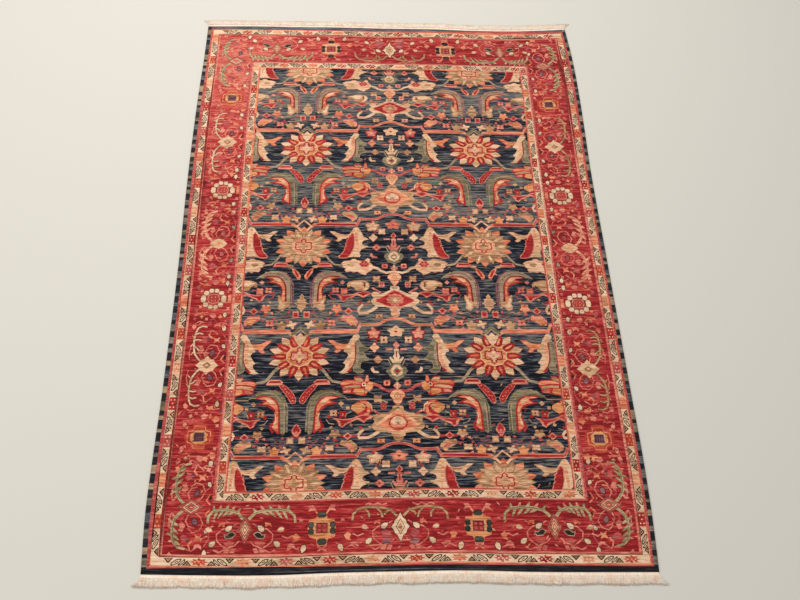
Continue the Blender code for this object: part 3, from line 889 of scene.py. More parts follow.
def endSmalls(put, leafy):
    put("pink", ribbon([(24, 20), (44, 8), (70, 2), (88, -14), (86, -34), (70, -50)], 3.8))
    put("pink", ribbon([(16, -34), (30, -48), (56, -58), (76, -44)], 3.8))
    bud(put, 50, 4, 11, "ivory", "dark", -40)
    if leafy:
        comma = [(30, -14), (40, -24), (58, -26), (62, -16), (54, -18), (46, -10), (38, -8)]
        put("ash", grown(comma, 3))
        put("dark", comma)
        put("rose", [(30, -38), (50, -34), (66, -40), (56, -52), (38, -50)])
    else:
        bud(put, 44, -22, 12, "rose", "mauve", 20)
        put("mauve", [(28, -42), (46, -36), (60, -42), (52, -54), (34, -52)])
    bud(put, 100, -44, 10, "ivory", "olive", -40)
    bud(put, 112, 0, 9, "cream", "rose", 20)
    for k in (0, 1):
        put("pink", [(26 + 18 * k, -58), (38 + 18 * k, -56), (46 + 18 * k, -70), (32 + 18 * k, -72)])
    put("pink", ribbon([(60, -62), (80, -70), (96, -62)], 4.5))
    put("coral", [(62, 24), (80, 20), (84, 8), (74, 14), (64, 8)])
    put("pink", ribbon([(116, -20), (134, -28), (150, -20)], 4.5))
    put("pink", [(132, -62), (146, -54), (158, -58), (154, -46), (142, -44), (134, -50)])


# The side borders' motifs from the near corner to the far one, and where their middle runs
sideRuns = {
    1: [("lozenge", "corner", -975), ("square", "", -752), ("lozenge", "cream", -495),
        ("octagon", "", -232), ("lozenge", "small", 10), ("octagon", "", 259), ("lozenge", "cream", 510),
        ("square", "", 741), ("lozenge", "corner", 965)],
    -1: [("lozenge", "corner", -976), ("square", "", -741), ("lozenge", "cream", -478),
         ("octagon", "", -212), ("lozenge", "small", 28), ("octagon", "", 278), ("lozenge", "cream", 521),
         ("square", "", 758), ("lozenge", "corner", 972)],
}
sideMiddle = {1: 666, -1: 658}


def flipped(put, s):  # puts the far half of a motif where s is 1, and its mirror where it's -1
    return lambda yarn, outline: put(yarn, [(w, s * t) for w, t in outline])


def laySideBorder(side):
    for motif, kind, along in sideRuns[side]:
        def put(yarn, outline):
            weave(yarn, [(side * (sideMiddle[side] + w), along + s) for w, s in outline])
        if motif != "lozenge":
            for s in (-1, 1):
                borderSprigs(flipped(put, s))
        if motif == "square":
            squareFlower(put)
            for s in (-1, 1):
                put("coral", [(-60, s * 58), (-46, s * 50), (-38, s * 62), (-48, s * 76), (-60, s * 70)])
                put("pink", [(-18, s * 66), (-4, s * 62), (2, s * 74), (-8, s * 84), (-22, s * 78)])
                bud(put, 52, s * 42, 9, "pink", "brick", 90)
                put("rose", ribbon([(20, s * 58), (44, s * 62), (60, s * 56)], 4))
            continue
        if motif == "octagon":
            octagonFlower(put)
            for s in (-1, 1):
                bud(put, -46, s * 66, 9, "ivory", "dark", 90)
                put("pink", [(-12, s * 62), (2, s * 58), (8, s * 70), (-2, s * 80), (-16, s * 74)])
                bud(put, 58, s * 46, 7, "rose", "mauve", 60)
                put("coral", ribbon([(14, s * 56), (40, s * 60), (58, s * 70)], 4))
            put("coral", box(-58, 0, 6, 18))
            continue
        for s in (-1, 1):
            putHalf = flipped(put, s)
            if kind == "corner":
                leafyBranch(putHalf, "khaki", "brick", 0.95 if s * along < 0 else 0.86)
            elif kind == "cream":
                thinBranch(putHalf, "cream" if side < 0 else "tan", "dark" if side < 0 else "olive")
            else:
                leafyBranch(putHalf, "peach", "rose", 0.98)
            borderSmalls(putHalf, kind != "small")
        if kind == "cream":
            stepped = [(-40, 0), (-26, -12), (-22, -20), (-10, -24), (0, -37), (10, -24), (22, -20),
                       (26, -12)]
            put("cream", halfTurned(stepped))
            nestedLozenge(put, 26, 22, lozengeRings["cream"])
        elif kind == "small":
            put("cream", halfTurned([(-33, 0), (-16, -17), (0, -23), (16, -17)]))
            nestedLozenge(put, 24, 16, lozengeRings["small"])
        else:
            nestedLozenge(put, 42, 29, lozengeRings["corner"])


# The end borders: how far from the middle their motifs stand, and two yarns of their flowers
endRuns = {
    -1: {"along": -1047, "flowers": 246, "lozenges": 486, "middle": 0, "body": "orange", "blocks": "pine"},
    1: {"along": 1050, "flowers": 250, "lozenges": 487, "middle": 6, "body": "peach", "blocks": "dark"},
}


def layEndBorder(end):
    run = endRuns[end]
    for x0 in (-run["flowers"], run["flowers"]):
        def put(yarn, outline):
            weave(yarn, [(x0 + x, run["along"] - end * y) for x, y in outline])
        crossFlower(put, run["body"], run["blocks"])
    for x0, kind in ((run["middle"], "ivory"), (-run["lozenges"], "tall"), (run["lozenges"], "tall")):
        for s in (-1, 1):
            def putHalf(yarn, outline):
                weave(yarn, [(x0 + s * x, run["along"] - end * y) for x, y in outline])
            reach = 1.0 if kind == "ivory" else (0.78 if s * x0 > 0 else 1.04)
            hangingBranch(putHalf, kind == "tall", reach)
            endSmalls(putHalf, kind == "tall")

        def put(yarn, outline):
            weave(yarn, [(x0 + x, run["along"] - end * y) for x, y in outline])
        if kind == "tall":
            nestedLozenge(put, 24, 46, lozengeRings["tall"])
        else:
            put("dark", mirrored([(0, 48), (10, 28), (20, 22), (22, 12), (32, 0), (22, -12), (20, -22),
                                  (10, -28), (0, -52)]))
            put("ivory", mirrored([(0, 45), (9, 27), (18, 20), (20, 11), (29, 0), (20, -11), (18, -20),
                                   (9, -27), (0, -48)]))
            nestedLozenge(put, 15, 26, lozengeRings["ivory"])


guard = {
    "scroll": 86,  # how long each is, along the run
    "block": 44,
    "width": 24,  # as charted
    "blocks": (("red", "pink"), ("peach", "tan"), ("orangeRed", "peach"), ("coral", "tan"),
               ("rose", "red")),
}


def layGuard(start, run, outward, width, length, first):
    # a run of scrolls and flowers. It starts at a corner, and run and outward are unit steps
    def put(yarn, outline):
        placed = []
        for s, w in outline:
            placed.append((start[0] + run[0] * s + outward[0] * w, start[1] + run[1] * s + outward[1] * w))
        weave(yarn, placed)

    unit = guard["scroll"] + guard["block"]
    count = max(round(length / unit), 1)
    stretch = length / (count * unit)
    put("ivory", [(0, 0), (length, 0), (length, width), (0, width)])
    for k in range(count):
        flip = (k + first) % 2 == 0

        def past(s, w):
            return (k * unit + s) * stretch, w * width / guard["width"]

        def at(s, w):
            return past(guard["scroll"] - s if flip else s, w)

        def draw(yarn, *corners):
            put(yarn, [at(s, w) for s, w in corners])

        draw("dark", (2, 1), (15, 15), (18, 15), (31, 1))
        draw("tan", (9, 3), (15.5, 10.5), (17.5, 10.5), (24, 3))
        draw("brick", (13, 3), (16.5, 7), (20, 3))
        draw("dark", (22, 23), (25, 15), (38, 5), (50, 1.5), (56, 3), (54, 10), (42, 19), (29, 23.5))
        draw("ivory", (26.5, 20), (28, 16.5), (39, 8), (49, 4.8), (52, 5.5), (50.5, 9), (41, 16.5),
             (30, 20.5))
        draw("olive", (34, 14.5), (44, 8), (46, 9.5), (37, 16))
        draw("dark", (44, 21), (54, 13), (62, 4), (67, 3), (66, 12), (56, 21), (48, 24))
        draw("ivory", (49, 20.2), (56.5, 13.5), (63, 7), (63, 11.5), (54.5, 19))
        draw("dark", (57, 23), (70, 9), (73, 9), (85, 23))
        draw("tan", (64, 21), (70.5, 13.5), (72.5, 13.5), (78.5, 21))
        draw("brick", (68, 21), (71.5, 17), (75, 21))
        ground, dots = guard["blocks"][(k + 2 * first) % len(guard["blocks"])]
        middle = guard["scroll"] + guard["block"] / 2
        half = guard["block"] / 2
        if run[0]:
            petals = lobed(0, 12, half * 1.02, 8, 0.24, 0.46, 0, 2)
            put(ground, [past(middle + s, w) for s, w in petals])
            marks = ((-12, 12), (0, 12), (12, 12), (-5, 6.5), (5, 17.5))
        else:
            put(ground, [past(middle + s, w) for s, w in ((-half, 0), (half, 0), (half, 24), (-half, 24))])
            marks = ((-13, 6), (-13, 18), (0, 12), (13, 6), (13, 18))
        for s, w in marks:
            put("ivory" if ground in ("red", "rose") else dots, lozenge(*past(middle + s, w), 3.6, 3.0))


def laySprigs(rng, count, yarns, onField):
    # short slanting leaves scattered over the ground. The larger motifs cover some of them
    while count > 0:
        x, y = rng.uniform(-738, 744), rng.uniform(-1120, 1124)
        length, width = rng.uniform(5, 9.5), rng.uniform(1.7, 2.8)
        slant = math.radians(rng.choice((-1, 1)) * rng.uniform(12, 60))
        yarn = rng.choice(yarns)
        inside = -598 < x < 606 and -968 < y < 978
        well = -552 < x < 560 and -918 < y < 926
        if (onField and not well) or (inside and not onField):
            continue
        sprig = [(-length, 0), (-length * 0.2, -width), (length, 0), (length * 0.3, width)]
        weave(yarn, turned(sprig, slant, x, y), True)
        count -= 1


border = {
    "dashSeed": 8,
    "dashYarns": ["rose", "rose", "brick", "red", "pink", "orangeRed", "brick"],
    "sprigs": 560,
    "sprigSeed": 11,
    "sprigYarns": ["pink", "pink", "coral", "rose", "rose", "tan", "brick", "peach"],
    "edgeYarns": ["grey", "ash", "grey", "slate", "sage"],  # of the barred side edges, with navy between
    "edgeSeed": 5,
}


def layBorders():
    # each band of the frame is woven as four runs. The left ones lie a little further in
    def frameBand(yarn, left, right, near, far, thickX, thickNear, thickFar):
        weave(yarn, [(right - thickX, near), (right, near), (right, far), (right - thickX, far)])
        weave(yarn, [(left, near), (left + thickX, near), (left + thickX, far), (left, far)])
        weave(yarn, [(left, near), (right, near), (right, near + thickNear), (left, near + thickNear)])
        weave(yarn, [(left, far - thickFar), (right, far - thickFar), (right, far), (left, far)])

    frameBand("madder", -743, 749, -1127, 1130, 154, 168, 164)
    rng = random.Random(border["dashSeed"])
    for count, left, right, near, far in (
        (70, -690, 690, -1120, -970), (70, -690, 690, 980, 1125), (80, -707, -627, -960, 970),
        (80, 636, 716, -960, 970),
    ):
        layDashes(rng, count, border["dashYarns"], left, right, near, far)
    laySprigs(random.Random(border["sprigSeed"]), border["sprigs"], border["sprigYarns"], False)
    frameBand("rose", -593, 601, -961, 972, 6.5, 4, 4)
    frameBand("pink", -587, 595, -957, 968, 6.5, 3, 4)
    frameBand("ivory", -581, 589, -954, 964, 24, 26, 26)
    frameBand("coral", -559, 568, -930, 938, 5, 4, 4)
    frameBand("rose", -554.5, 563.5, -926, 934, 4, 2, 2)
    layGuard((567, -950), (0, 1), (1, 0), 21, 1908, 0)
    layGuard((-559, -950), (0, 1), (-1, 0), 22, 1908, 1)
    layGuard((-555, -930), (1, 0), (0, -1), 24, 1120, 0)
    layGuard((-555, 938), (1, 0), (0, 1), 25, 1120, 1)
    laySideBorder(1)
    laySideBorder(-1)
    layEndBorder(-1)
    layEndBorder(1)
    frameBand("ivory", -773, 777, -1158, 1160, 25, 26, 26)
    frameBand("pink", -747, 753, -1130, 1134, 8, 6, 6)
    frameBand("brick", -749, 755, -1133, 1136, 2.2, 3, 2.4)
    frameBand("coral", -777, 779.5, -1163, 1164, 4.5, 5, 4)
    frameBand("rose", -784, 786, -1168, 1170, 6.5, 5, 6)
    layGuard((755, -1133), (0, 1), (1, 0), 21, 2268, 0)
    layGuard((-749, -1133), (0, 1), (-1, 0), 23, 2268, 1)
    layGuard((-735, -1134), (1, 0), (0, -1), 24, 1476, 1)
    layGuard((-735, 1136), (1, 0), (0, 1), 24, 1476, 0)
    # the ends' navy bands and the barred side edges
    weave("navyEnd", [(-800, -1190), (800, -1190), (800, -1168), (-800, -1168)])
    weave("slate", [(-420, -1178), (60, -1176), (420, -1179), (60, -1179.5)])
    weave("navyFar", [(-800, 1169), (800, 1169), (800, 1190), (-800, 1190)])
    rng = random.Random(border["edgeSeed"])
    for inner, outer in ((-784, -806), (786, 806)):
        at = -1190
        navy = True
        while at < 1190:
            step = rng.uniform(11, 34)
            yarn = "navyEnd" if navy else rng.choice(border["edgeYarns"])
            weave(yarn, [(inner, at), (outer, at), (outer, at + step), (inner, at + step)])
            at += step
            navy = not navy


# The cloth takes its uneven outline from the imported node
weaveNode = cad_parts["weave"]
clothSize = {
    "halfWidth": 0.800,  # as charted
    "halfLength": 1.185,
    "thickness": 0.003,
    "rimMargin": 0.004,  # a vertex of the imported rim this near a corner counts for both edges
    "ripple": 0.0012,  # how far it lifts off the ground at most, in places
    "swells": (2.3, 2.9),  # the ripples for each metre across and along, large and small
    "ripples": (9.0, 6.0),
    "waver": 1.1,  # how far the hand-woven outlines stray, in millimetres
    "waverAcross": (0.031, 0.047),  # how quickly that changes, for each millimetre
    "waverAlong": (0.029, 0.041),
    "longEdge": 105,  # edges longer than this get points between, so that they stray too
    "leastUnder": 240,  # outlines of a smaller area, in square millimetres, are left out underneath
    "joined": 0.05,  # points nearer than this are one, in millimetres
}


def readOutline():
    # reach of each edge at places along it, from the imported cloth's rim
    edges = {"left": [], "right": [], "near": [], "far": []}
    for vertex in weaveNode.data.vertices:
        x, y, _ = vertex.co
        across, along = abs(x) / clothSize["halfWidth"], abs(y) / clothSize["halfLength"]
        if across > along - clothSize["rimMargin"]:
            edges["left" if x < 0 else "right"].append((y, abs(x)))
        if along > across - clothSize["rimMargin"]:
            edges["near" if y < 0 else "far"].append((x, abs(y)))
    return {name: sorted(set((round(a, 5), round(b, 5)) for a, b in rows)) for name, rows in edges.items()}


outlineEdges = readOutline()


def reachAt(name, place):
    rows = outlineEdges[name]
    if place <= rows[0][0]:
        return rows[0][1]
    for (a, reachA), (b, reachB) in zip(rows, rows[1:]):
        if place <= b:
            return reachA + (reachB - reachA) * (place - a) / max(b - a, 1e-9)
    return rows[-1][1]


def laidPoint(across, along):  # where a point of the charted rectangle lies on the uneven cloth
    side = reachAt("left" if across < 0 else "right", along)
    end = reachAt("near" if along < 0 else "far", across)
    return across / clothSize["halfWidth"] * side, along / clothSize["halfLength"] * end


def rippleAt(x, y):
    swellX, swellY = clothSize["swells"]
    smallX, smallY = clothSize["ripples"]
    swell = 0.5 + 0.5 * noise.noise((x * swellX, y * swellY, 4.0))
    small = 0.5 + 0.5 * noise.noise((x * smallX, y * smallY, 8.0))
    return clothSize["ripple"] * (0.7 * swell + 0.3 * small)


def strayOf(x, y):  # how far a hand-woven outline is off at a place, in millimetres
    reach = clothSize["waver"]
    acrossX, acrossY = clothSize["waverAcross"]
    alongX, alongY = clothSize["waverAlong"]
    across = reach * noise.noise((x * acrossX, y * acrossY, 2.0))
    along = reach * noise.noise((x * alongX, y * alongY, 9.0))
    return across, along


def strayed(outline):
    # the outline as woven by hand, kept inside the charted rectangle
    rimX = clothSize["halfWidth"] / millimetre
    rimY = clothSize["halfLength"] / millimetre
    drawn = []
    for (ax, ay), (bx, by) in zip(outline, outline[1:] + outline[:1]):
        count = max(round(math.hypot(bx - ax, by - ay) / clothSize["longEdge"]), 1)
        for k in range(count):
            x = ax + (bx - ax) * k / count
            y = ay + (by - ay) * k / count
            dx, dy = strayOf(x, y)
            drawn.append((max(-rimX, min(rimX, x + dx)), max(-rimY, min(rimY, y + dy))))
    return drawn


def yarnsUnder(spots, outlines):
    # the number of the last outline that covers each spot
    found = numpy.zeros(len(spots), dtype=int)
    order = numpy.argsort(spots[:, 1], kind="stable")
    alongs = spots[order, 1]
    for number, outline in enumerate(outlines):
        corners = numpy.array(outline)
        low, high = corners.min(axis=0), corners.max(axis=0)
        near, far = numpy.searchsorted(alongs, (low[1], high[1]))
        some = order[near:far]
        some = some[(spots[some, 0] >= low[0]) & (spots[some, 0] <= high[0])]
        if not len(some):
            continue
        x, y = spots[some, 0], spots[some, 1]
        inside = numpy.zeros(len(some), dtype=bool)
        for (ax, ay), (bx, by) in zip(corners, numpy.roll(corners, -1, axis=0)):
            if ay != by:
                crosses = (ay > y) != (by > y)
                inside ^= crosses & (x < ax + (bx - ax) * (y - ay) / (by - ay))
        found[some[inside]] = number
    return found


def areaOf(outline):
    following = outline[1:] + outline[:1]
    return abs(sum(ax * by - bx * ay for (ax, ay), (bx, by) in zip(outline, following))) / 2


def makeSide(points, triangles, covers, yarnNames, isTop):
    # one side of the cloth: the triangles of one yarn are joined, but for those at the rim
    bm = bmesh.new()
    verts = [bm.verts.new((p.x * millimetre, p.y * millimetre, 0)) for p in points]
    for triangle, yarn in zip(triangles, covers):
        corners = [verts[k] for k in triangle]
        if not bm.faces.get(corners):
            bm.faces.new(corners).material_index = yarnNames.index(yarn)
    bm.normal_update()
    inner = [v for v in bm.verts if not v.is_boundary]
    bmesh.ops.dissolve_limit(bm, angle_limit=0.01, verts=inner, edges=bm.edges, delimit={"MATERIAL"})
    bmesh.ops.triangulate(bm, faces=bm.faces[:])
    bmesh.ops.delete(bm, geom=[v for v in bm.verts if not v.link_faces], context="VERTS")
    bm.normal_update()
    for face in bm.faces:
        face.smooth = True
        if (face.normal.z > 0) != isTop:
            face.normal_flip()
    for vert in bm.verts:
        x, y = laidPoint(vert.co.x, vert.co.y)
        vert.co = (x, y, rippleAt(x, y) + (clothSize["thickness"] if isTop else 0))
    print("top:" if isTop else "underside:", len(bm.faces), "triangles")
    mesh = bpy.data.meshes.new("side")
    bm.to_mesh(mesh)
    bm.free()
    return mesh


def weaveCloth():
    layField()
    layBorders()
    rimX = clothSize["halfWidth"] / millimetre
    rimY = clothSize["halfLength"] / millimetre
    outlines = [[(-rimX, -rimY), (rimX, -rimY), (rimX, rimY), (-rimX, rimY)]]
    yarns = ["navyEnd"]
    under = [0]
    for yarn, outline, isFine in shapes:
        if not isFine and areaOf(outline) > clothSize["leastUnder"]:
            under.append(len(outlines))
        outlines.append(strayed(outline))
        yarns.append(yarn)
    points = []
    lines = []
    for outline in outlines:
        first = len(points)
        points += [Vector(point) for point in outline]
        lines += [(first + k, first + (k + 1) % len(outline)) for k in range(len(outline))]
    points, _, triangles, _, _, _ = delaunay_2d_cdt(points, lines, [], 0, clothSize["joined"], False)
    spots = numpy.array([(p.x, p.y) for p in points])[numpy.array(triangles)].mean(axis=1)
    print("cloth:", len(shapes), "shapes,", len(triangles), "triangles as laid out")
    yarnNames = sorted(set(yarns))
    above = [yarns[k] for k in yarnsUnder(spots, outlines)]
    below = [yarns[under[k]] for k in yarnsUnder(spots, [outlines[k] for k in under])]
    bm = bmesh.new()
    for covers, isTop in ((above, True), (below, False)):
        side = makeSide(points, triangles, covers, yarnNames, isTop)
        bm.from_mesh(side)
        bpy.data.meshes.remove(side)
    # the edge of the cloth joins its two sides
    rim = [edge for edge in bm.edges if edge.is_boundary]
    middle = clothSize["thickness"] / 2

    def isAbove(vert):
        return vert.co.z - rippleAt(vert.co.x, vert.co.y) > middle

    upper = [edge for edge in rim if isAbove(edge.verts[0])]
    lower = {v.co.xy.to_tuple(6): v for edge in rim for v in edge.verts if not isAbove(v)}
    for edge in upper:
        first, second = edge.verts
        corners = (first, second, lower[second.co.xy.to_tuple(6)], lower[first.co.xy.to_tuple(6)])
        bm.faces.new(corners).material_index = edge.link_faces[0].material_index
    bmesh.ops.recalc_face_normals(bm, faces=bm.faces[:])
    bmesh.ops.triangulate(bm, faces=bm.faces[:])
    openEdges = sum(1 for edge in bm.edges if len(edge.link_faces) != 2)
    print("cloth:", len(bm.faces), "triangles with both sides and the edge,", openEdges, "open edges")
    mesh = bpy.data.meshes.new("kilim_weave")
    bm.to_mesh(mesh)
    bm.free()
    cloth = bpy.data.objects.new("kilim_weave", mesh)
    bpy.context.scene.collection.objects.link(cloth)
    for name in yarnNames:
        mesh.materials.append(woolOf(name))
    return cloth


# Wool yarns: each has lots of its dye from deep to pale. Steps is the tone at which each lot
# comes, rows is how far the ground's lighter and darker rows count, and fade how far the painted
# glare, with some fading, at the far left corner does
woolLooks = {
    "navy": {"deep": "060813", "base": "13172b", "pale": "4b4f57", "palest": "827a70", "rows": 0.38,
             "streaks": 1.35, "steps": (0.24, 0.40, 0.60, 0.86)},
    "navyEnd": {"deep": "131318", "base": "1e1e26", "pale": "363438"},
    "navyFar": {"deep": "40424e", "base": "5a5a66", "pale": "7c7a7a"},
    "slate": {"deep": "3a3e4a", "base": "545860", "pale": "767672"},
    "grey": {"deep": "5c544e", "base": "7a7068", "pale": "9a8e82"},
    # the madder takes the most painted glare and fading at the far left corner
    "madder": {"deep": "7c161a", "base": "a6262b", "pale": "c6504b", "palest": "d67a6a", "fade": 0.38,
               "streaks": 1.1, "steps": (0.18, 0.40, 0.66, 0.98)},
    "brick": {"deep": "6c1c1a", "base": "882624", "pale": "a43c34"},
    "red": {"deep": "86191c", "base": "a82426", "pale": "c04038"},
    "orangeRed": {"deep": "9c3024", "base": "b84232", "pale": "cc6048"},
    "pink": {"deep": "b05a4e", "base": "d67e6c", "pale": "e69a84"},
    "rose": {"deep": "a03e40", "base": "b8504e", "pale": "cc6e62"},
    "coral": {"deep": "b85a40", "base": "dc8262", "pale": "ea9e7c"},
    "orange": {"deep": "b2663c", "base": "da8e5c", "pale": "e8a676"},
    "peach": {"deep": "bc7658", "base": "e2a480", "pale": "f0bc9a"},
    "cream": {"deep": "b68c68", "base": "deb392", "pale": "eecbac", "streaks": 0.75},
    "ivory": {"deep": "bc9a7c", "base": "e2bea0", "pale": "f0d4b8", "streaks": 0.55},
    "tan": {"deep": "906444", "base": "c08e6a", "pale": "d8a882"},
    "sage": {"deep": "5c5442", "base": "7c7058", "pale": "9c8c70"},
    "ash": {"deep": "826e58", "base": "a08870", "pale": "bca084"},
    "dark": {"deep": "1c1818", "base": "2c2422", "pale": "4c3e38"},
    "olive": {"deep": "4a3826", "base": "624c38", "pale": "7c644a"},
    "khaki": {"deep": "8a7656", "base": "ae9872", "pale": "c8b290"},
    "mauve": {"deep": "683e48", "base": "86545a", "pale": "a27072"},
    "plum": {"deep": "3c2230", "base": "56303e", "pale": "744854"},
    "pine": {"deep": "2a2c28", "base": "42443e", "pale": "626056"},
}

# How light the blue ground is along the kilim: lighter and darker rows, and lighter towards the far end
groundTones = (
    (-0.93, 0.05), (-0.86, 0.42), (-0.81, 0.62), (-0.77, 0.22), (-0.64, 0.16), (-0.59, 0.20), (-0.56, 0.04),
    (-0.46, 0.06), (-0.42, 0.48), (-0.37, 0.66), (-0.23, 0.62), (-0.19, 0.22), (-0.12, 0.06), (0.08, 0.08),
    (0.13, 0.66), (0.25, 0.74), (0.37, 0.78), (0.41, 0.22), (0.60, 0.14), (0.66, 0.42), (0.71, 0.86),
    (0.79, 0.84), (0.83, 0.42), (0.93, 0.22),
)

woolGrain = {
    "streakPlace": 15.0,  # streaks for each metre across, and for each metre along
    "streakRun": 205.0,
    "patchAcross": 2.2,
    "patchAlong": 16.0,
    "drift": 0.010,  # how far a weft wanders from straight
    "driftScale": 3.5,
    "tone": 0.34,  # of a yarn with no streaks, and what each kind of streak adds
    "fine": 1.7,
    "broad": 0.6,
    "through": 0.75,
    "patch": 0.7,
    "glareFadeCorner": (-0.9, 1.05, 0),
    "glareFadeFrom": 0.15,  # how far from that corner the painted glare and fading start to give way
    "glareFadeTo": 1.05,
    "weftPitch": 0.0021,
    "warpPitch": 0.0040,
    "groove": 0.00045,
    "relief": 0.00035,
    "reliefStrength": 0.6,
    "fuzzScale": 700,
    "roughness": 0.80,
    "roughnessSpread": 0.16,
    "sheen": 0.06,
    "sheenRoughness": 0.6,
    "specular": 0.12,
    "lotShift": 3.7,  # from one yarn's streaks to the next one's
    "lotRagged": 0.08,  # how far one lot of the ground runs into the next
    "fade": 0.12,
    "steps": (0.18, 0.38, 0.64, 0.95),
}


def linear(hexColour):  # a colour as seen, to the shader's own scale
    parts = [int(hexColour[k:k + 2], 16) / 255 for k in (0, 2, 4)]
    return tuple(c / 12.92 if c <= 0.04045 else ((c + 0.055) / 1.055) ** 2.4 for c in parts) + (1.0,)


def fillRamp(ramp, stops):
    while len(ramp.elements) < len(stops):
        ramp.elements.new(0.5)
    for element, (position, colour) in zip(ramp.elements, stops):
        element.position = position
    for element, (position, colour) in zip(ramp.elements, stops):
        element.color = colour


def addNode(nodes, kind, values):  # a shader node with some of its sockets set
    node = nodes.new("ShaderNode" + kind)
    for socket, value in values.items():
        node.inputs[socket].default_value = value
    return node


def makeGrain():
    # one tone for every point of the cloth: streaks that run with the weft, over larger patches
    group = bpy.data.node_groups.new("wool grain", "ShaderNodeTree")
    for name in ("Lot", "Rows", "Fade", "Streaks"):
        group.interface.new_socket(name, in_out="INPUT", socket_type="NodeSocketFloat")
    for name, kind in (("Tone", "Float"), ("Roughness", "Float"), ("Normal", "Vector")):
        group.interface.new_socket(name, in_out="OUTPUT", socket_type="NodeSocket" + kind)
    nodes, links = group.nodes, group.links
    into = nodes.new("NodeGroupInput")
    out = nodes.new("NodeGroupOutput")
    place = nodes.new("ShaderNodeTexCoord").outputs["Object"]

    def reckon(operation, *values):
        node = nodes.new("ShaderNodeMath")
        node.operation = operation
        for socket, value in zip(node.inputs, values):
            if isinstance(value, (int, float)):
                socket.default_value = value
            else:
                links.new(value, socket)
        return node.outputs[0]

    def cloud(where, scale, detail):
        node = addNode(nodes, "TexNoise", {"Scale": scale, "Detail": detail, "Roughness": 0.6})
        links.new(where, node.inputs["Vector"])
        return node.outputs["Fac"]

    split = nodes.new("ShaderNodeSeparateXYZ")
    links.new(place, split.inputs[0])
    across, along = split.outputs["X"], split.outputs["Y"]
    wander = reckon("SUBTRACT", cloud(place, woolGrain["driftScale"], 1.0), 0.5)
    wander = reckon("MULTIPLY", wander, woolGrain["drift"])
    bent = reckon("ADD", along, wander)

    def streaks(forAcross, forAlong, shift, detail, ofOneYarn=True):
        where = nodes.new("ShaderNodeCombineXYZ")
        links.new(reckon("MULTIPLY_ADD", across, forAcross, shift), where.inputs["X"])
        links.new(reckon("MULTIPLY", bent, forAlong), where.inputs["Y"])
        if ofOneYarn:
            links.new(into.outputs["Lot"], where.inputs["Z"])
        return reckon("SUBTRACT", cloud(where.outputs[0], 1.0, detail), 0.5)

    fine = streaks(woolGrain["streakPlace"], woolGrain["streakRun"], 3.1, 3.0)
    broad = streaks(woolGrain["streakPlace"] * 0.6, woolGrain["streakRun"] * 0.42, 27.3, 2.0)
    through = streaks(woolGrain["streakPlace"] * 2.6, woolGrain["streakRun"] * 1.25, 63.0, 2.0, False)
    patch = streaks(woolGrain["patchAcross"], woolGrain["patchAlong"], 41.0, 2.0)

    # the ground's lighter and darker rows, lighter overall towards the far end
    rowRamp = nodes.new("ShaderNodeValToRGB")
    fillRamp(rowRamp.color_ramp, [((y + 1) / 2, (light, light, light, 1)) for y, light in groundTones])
    lotEdge = reckon("MULTIPLY_ADD", streaks(3.0, 60.0, 9.0, 1.0), woolGrain["lotRagged"], along)
    links.new(reckon("MULTIPLY_ADD", lotEdge, 0.5, 0.5), rowRamp.inputs["Fac"])
    rows = reckon("MULTIPLY", rowRamp.outputs["Color"], into.outputs["Rows"])

    # painted glare, with some fading: the corner at the far left is paler
    toCorner = nodes.new("ShaderNodeVectorMath")
    toCorner.operation = "DISTANCE"
    toCorner.inputs[1].default_value = woolGrain["glareFadeCorner"]
    links.new(place, toCorner.inputs[0])
    glareFadeShare = addNode(nodes, "MapRange", {"From Min": woolGrain["glareFadeTo"], "From Max": woolGrain["glareFadeFrom"]})
    glareFadeShare.interpolation_type = "SMOOTHSTEP"
    links.new(toCorner.outputs["Value"], glareFadeShare.inputs["Value"])
    glareFadeLift = reckon("MULTIPLY", glareFadeShare.outputs["Result"], into.outputs["Fade"])

    ofFine = reckon("MULTIPLY", into.outputs["Streaks"], woolGrain["fine"])
    tone = reckon("MULTIPLY_ADD", fine, ofFine, woolGrain["tone"])
    for streak, name in ((broad, "broad"), (through, "through"), (patch, "patch")):
        tone = reckon("MULTIPLY_ADD", streak, woolGrain[name], tone)
    tone = reckon("ADD", reckon("ADD", tone, rows), glareFadeLift)
    links.new(tone, out.inputs["Tone"])

    beads = addNode(nodes, "TexBrick", {
        "Scale": 1.0,
        "Mortar Size": woolGrain["groove"],
        "Mortar Smooth": 1.0,
        "Brick Width": woolGrain["warpPitch"],
        "Row Height": woolGrain["weftPitch"],
    })
    beads.offset = 0.5
    links.new(place, beads.inputs["Vector"])
    fuzz = cloud(place, woolGrain["fuzzScale"], 2.0)
    bump = addNode(nodes, "Bump", {"Strength": woolGrain["reliefStrength"],
                                   "Distance": woolGrain["relief"]})
    height = reckon("SUBTRACT", reckon("MULTIPLY", fuzz, 0.5), beads.outputs["Fac"])
    links.new(height, bump.inputs["Height"])
    links.new(bump.outputs["Normal"], out.inputs["Normal"])
    roughness = reckon("MULTIPLY_ADD", fuzz, woolGrain["roughnessSpread"], woolGrain["roughness"])
    links.new(roughness, out.inputs["Roughness"])
    return group


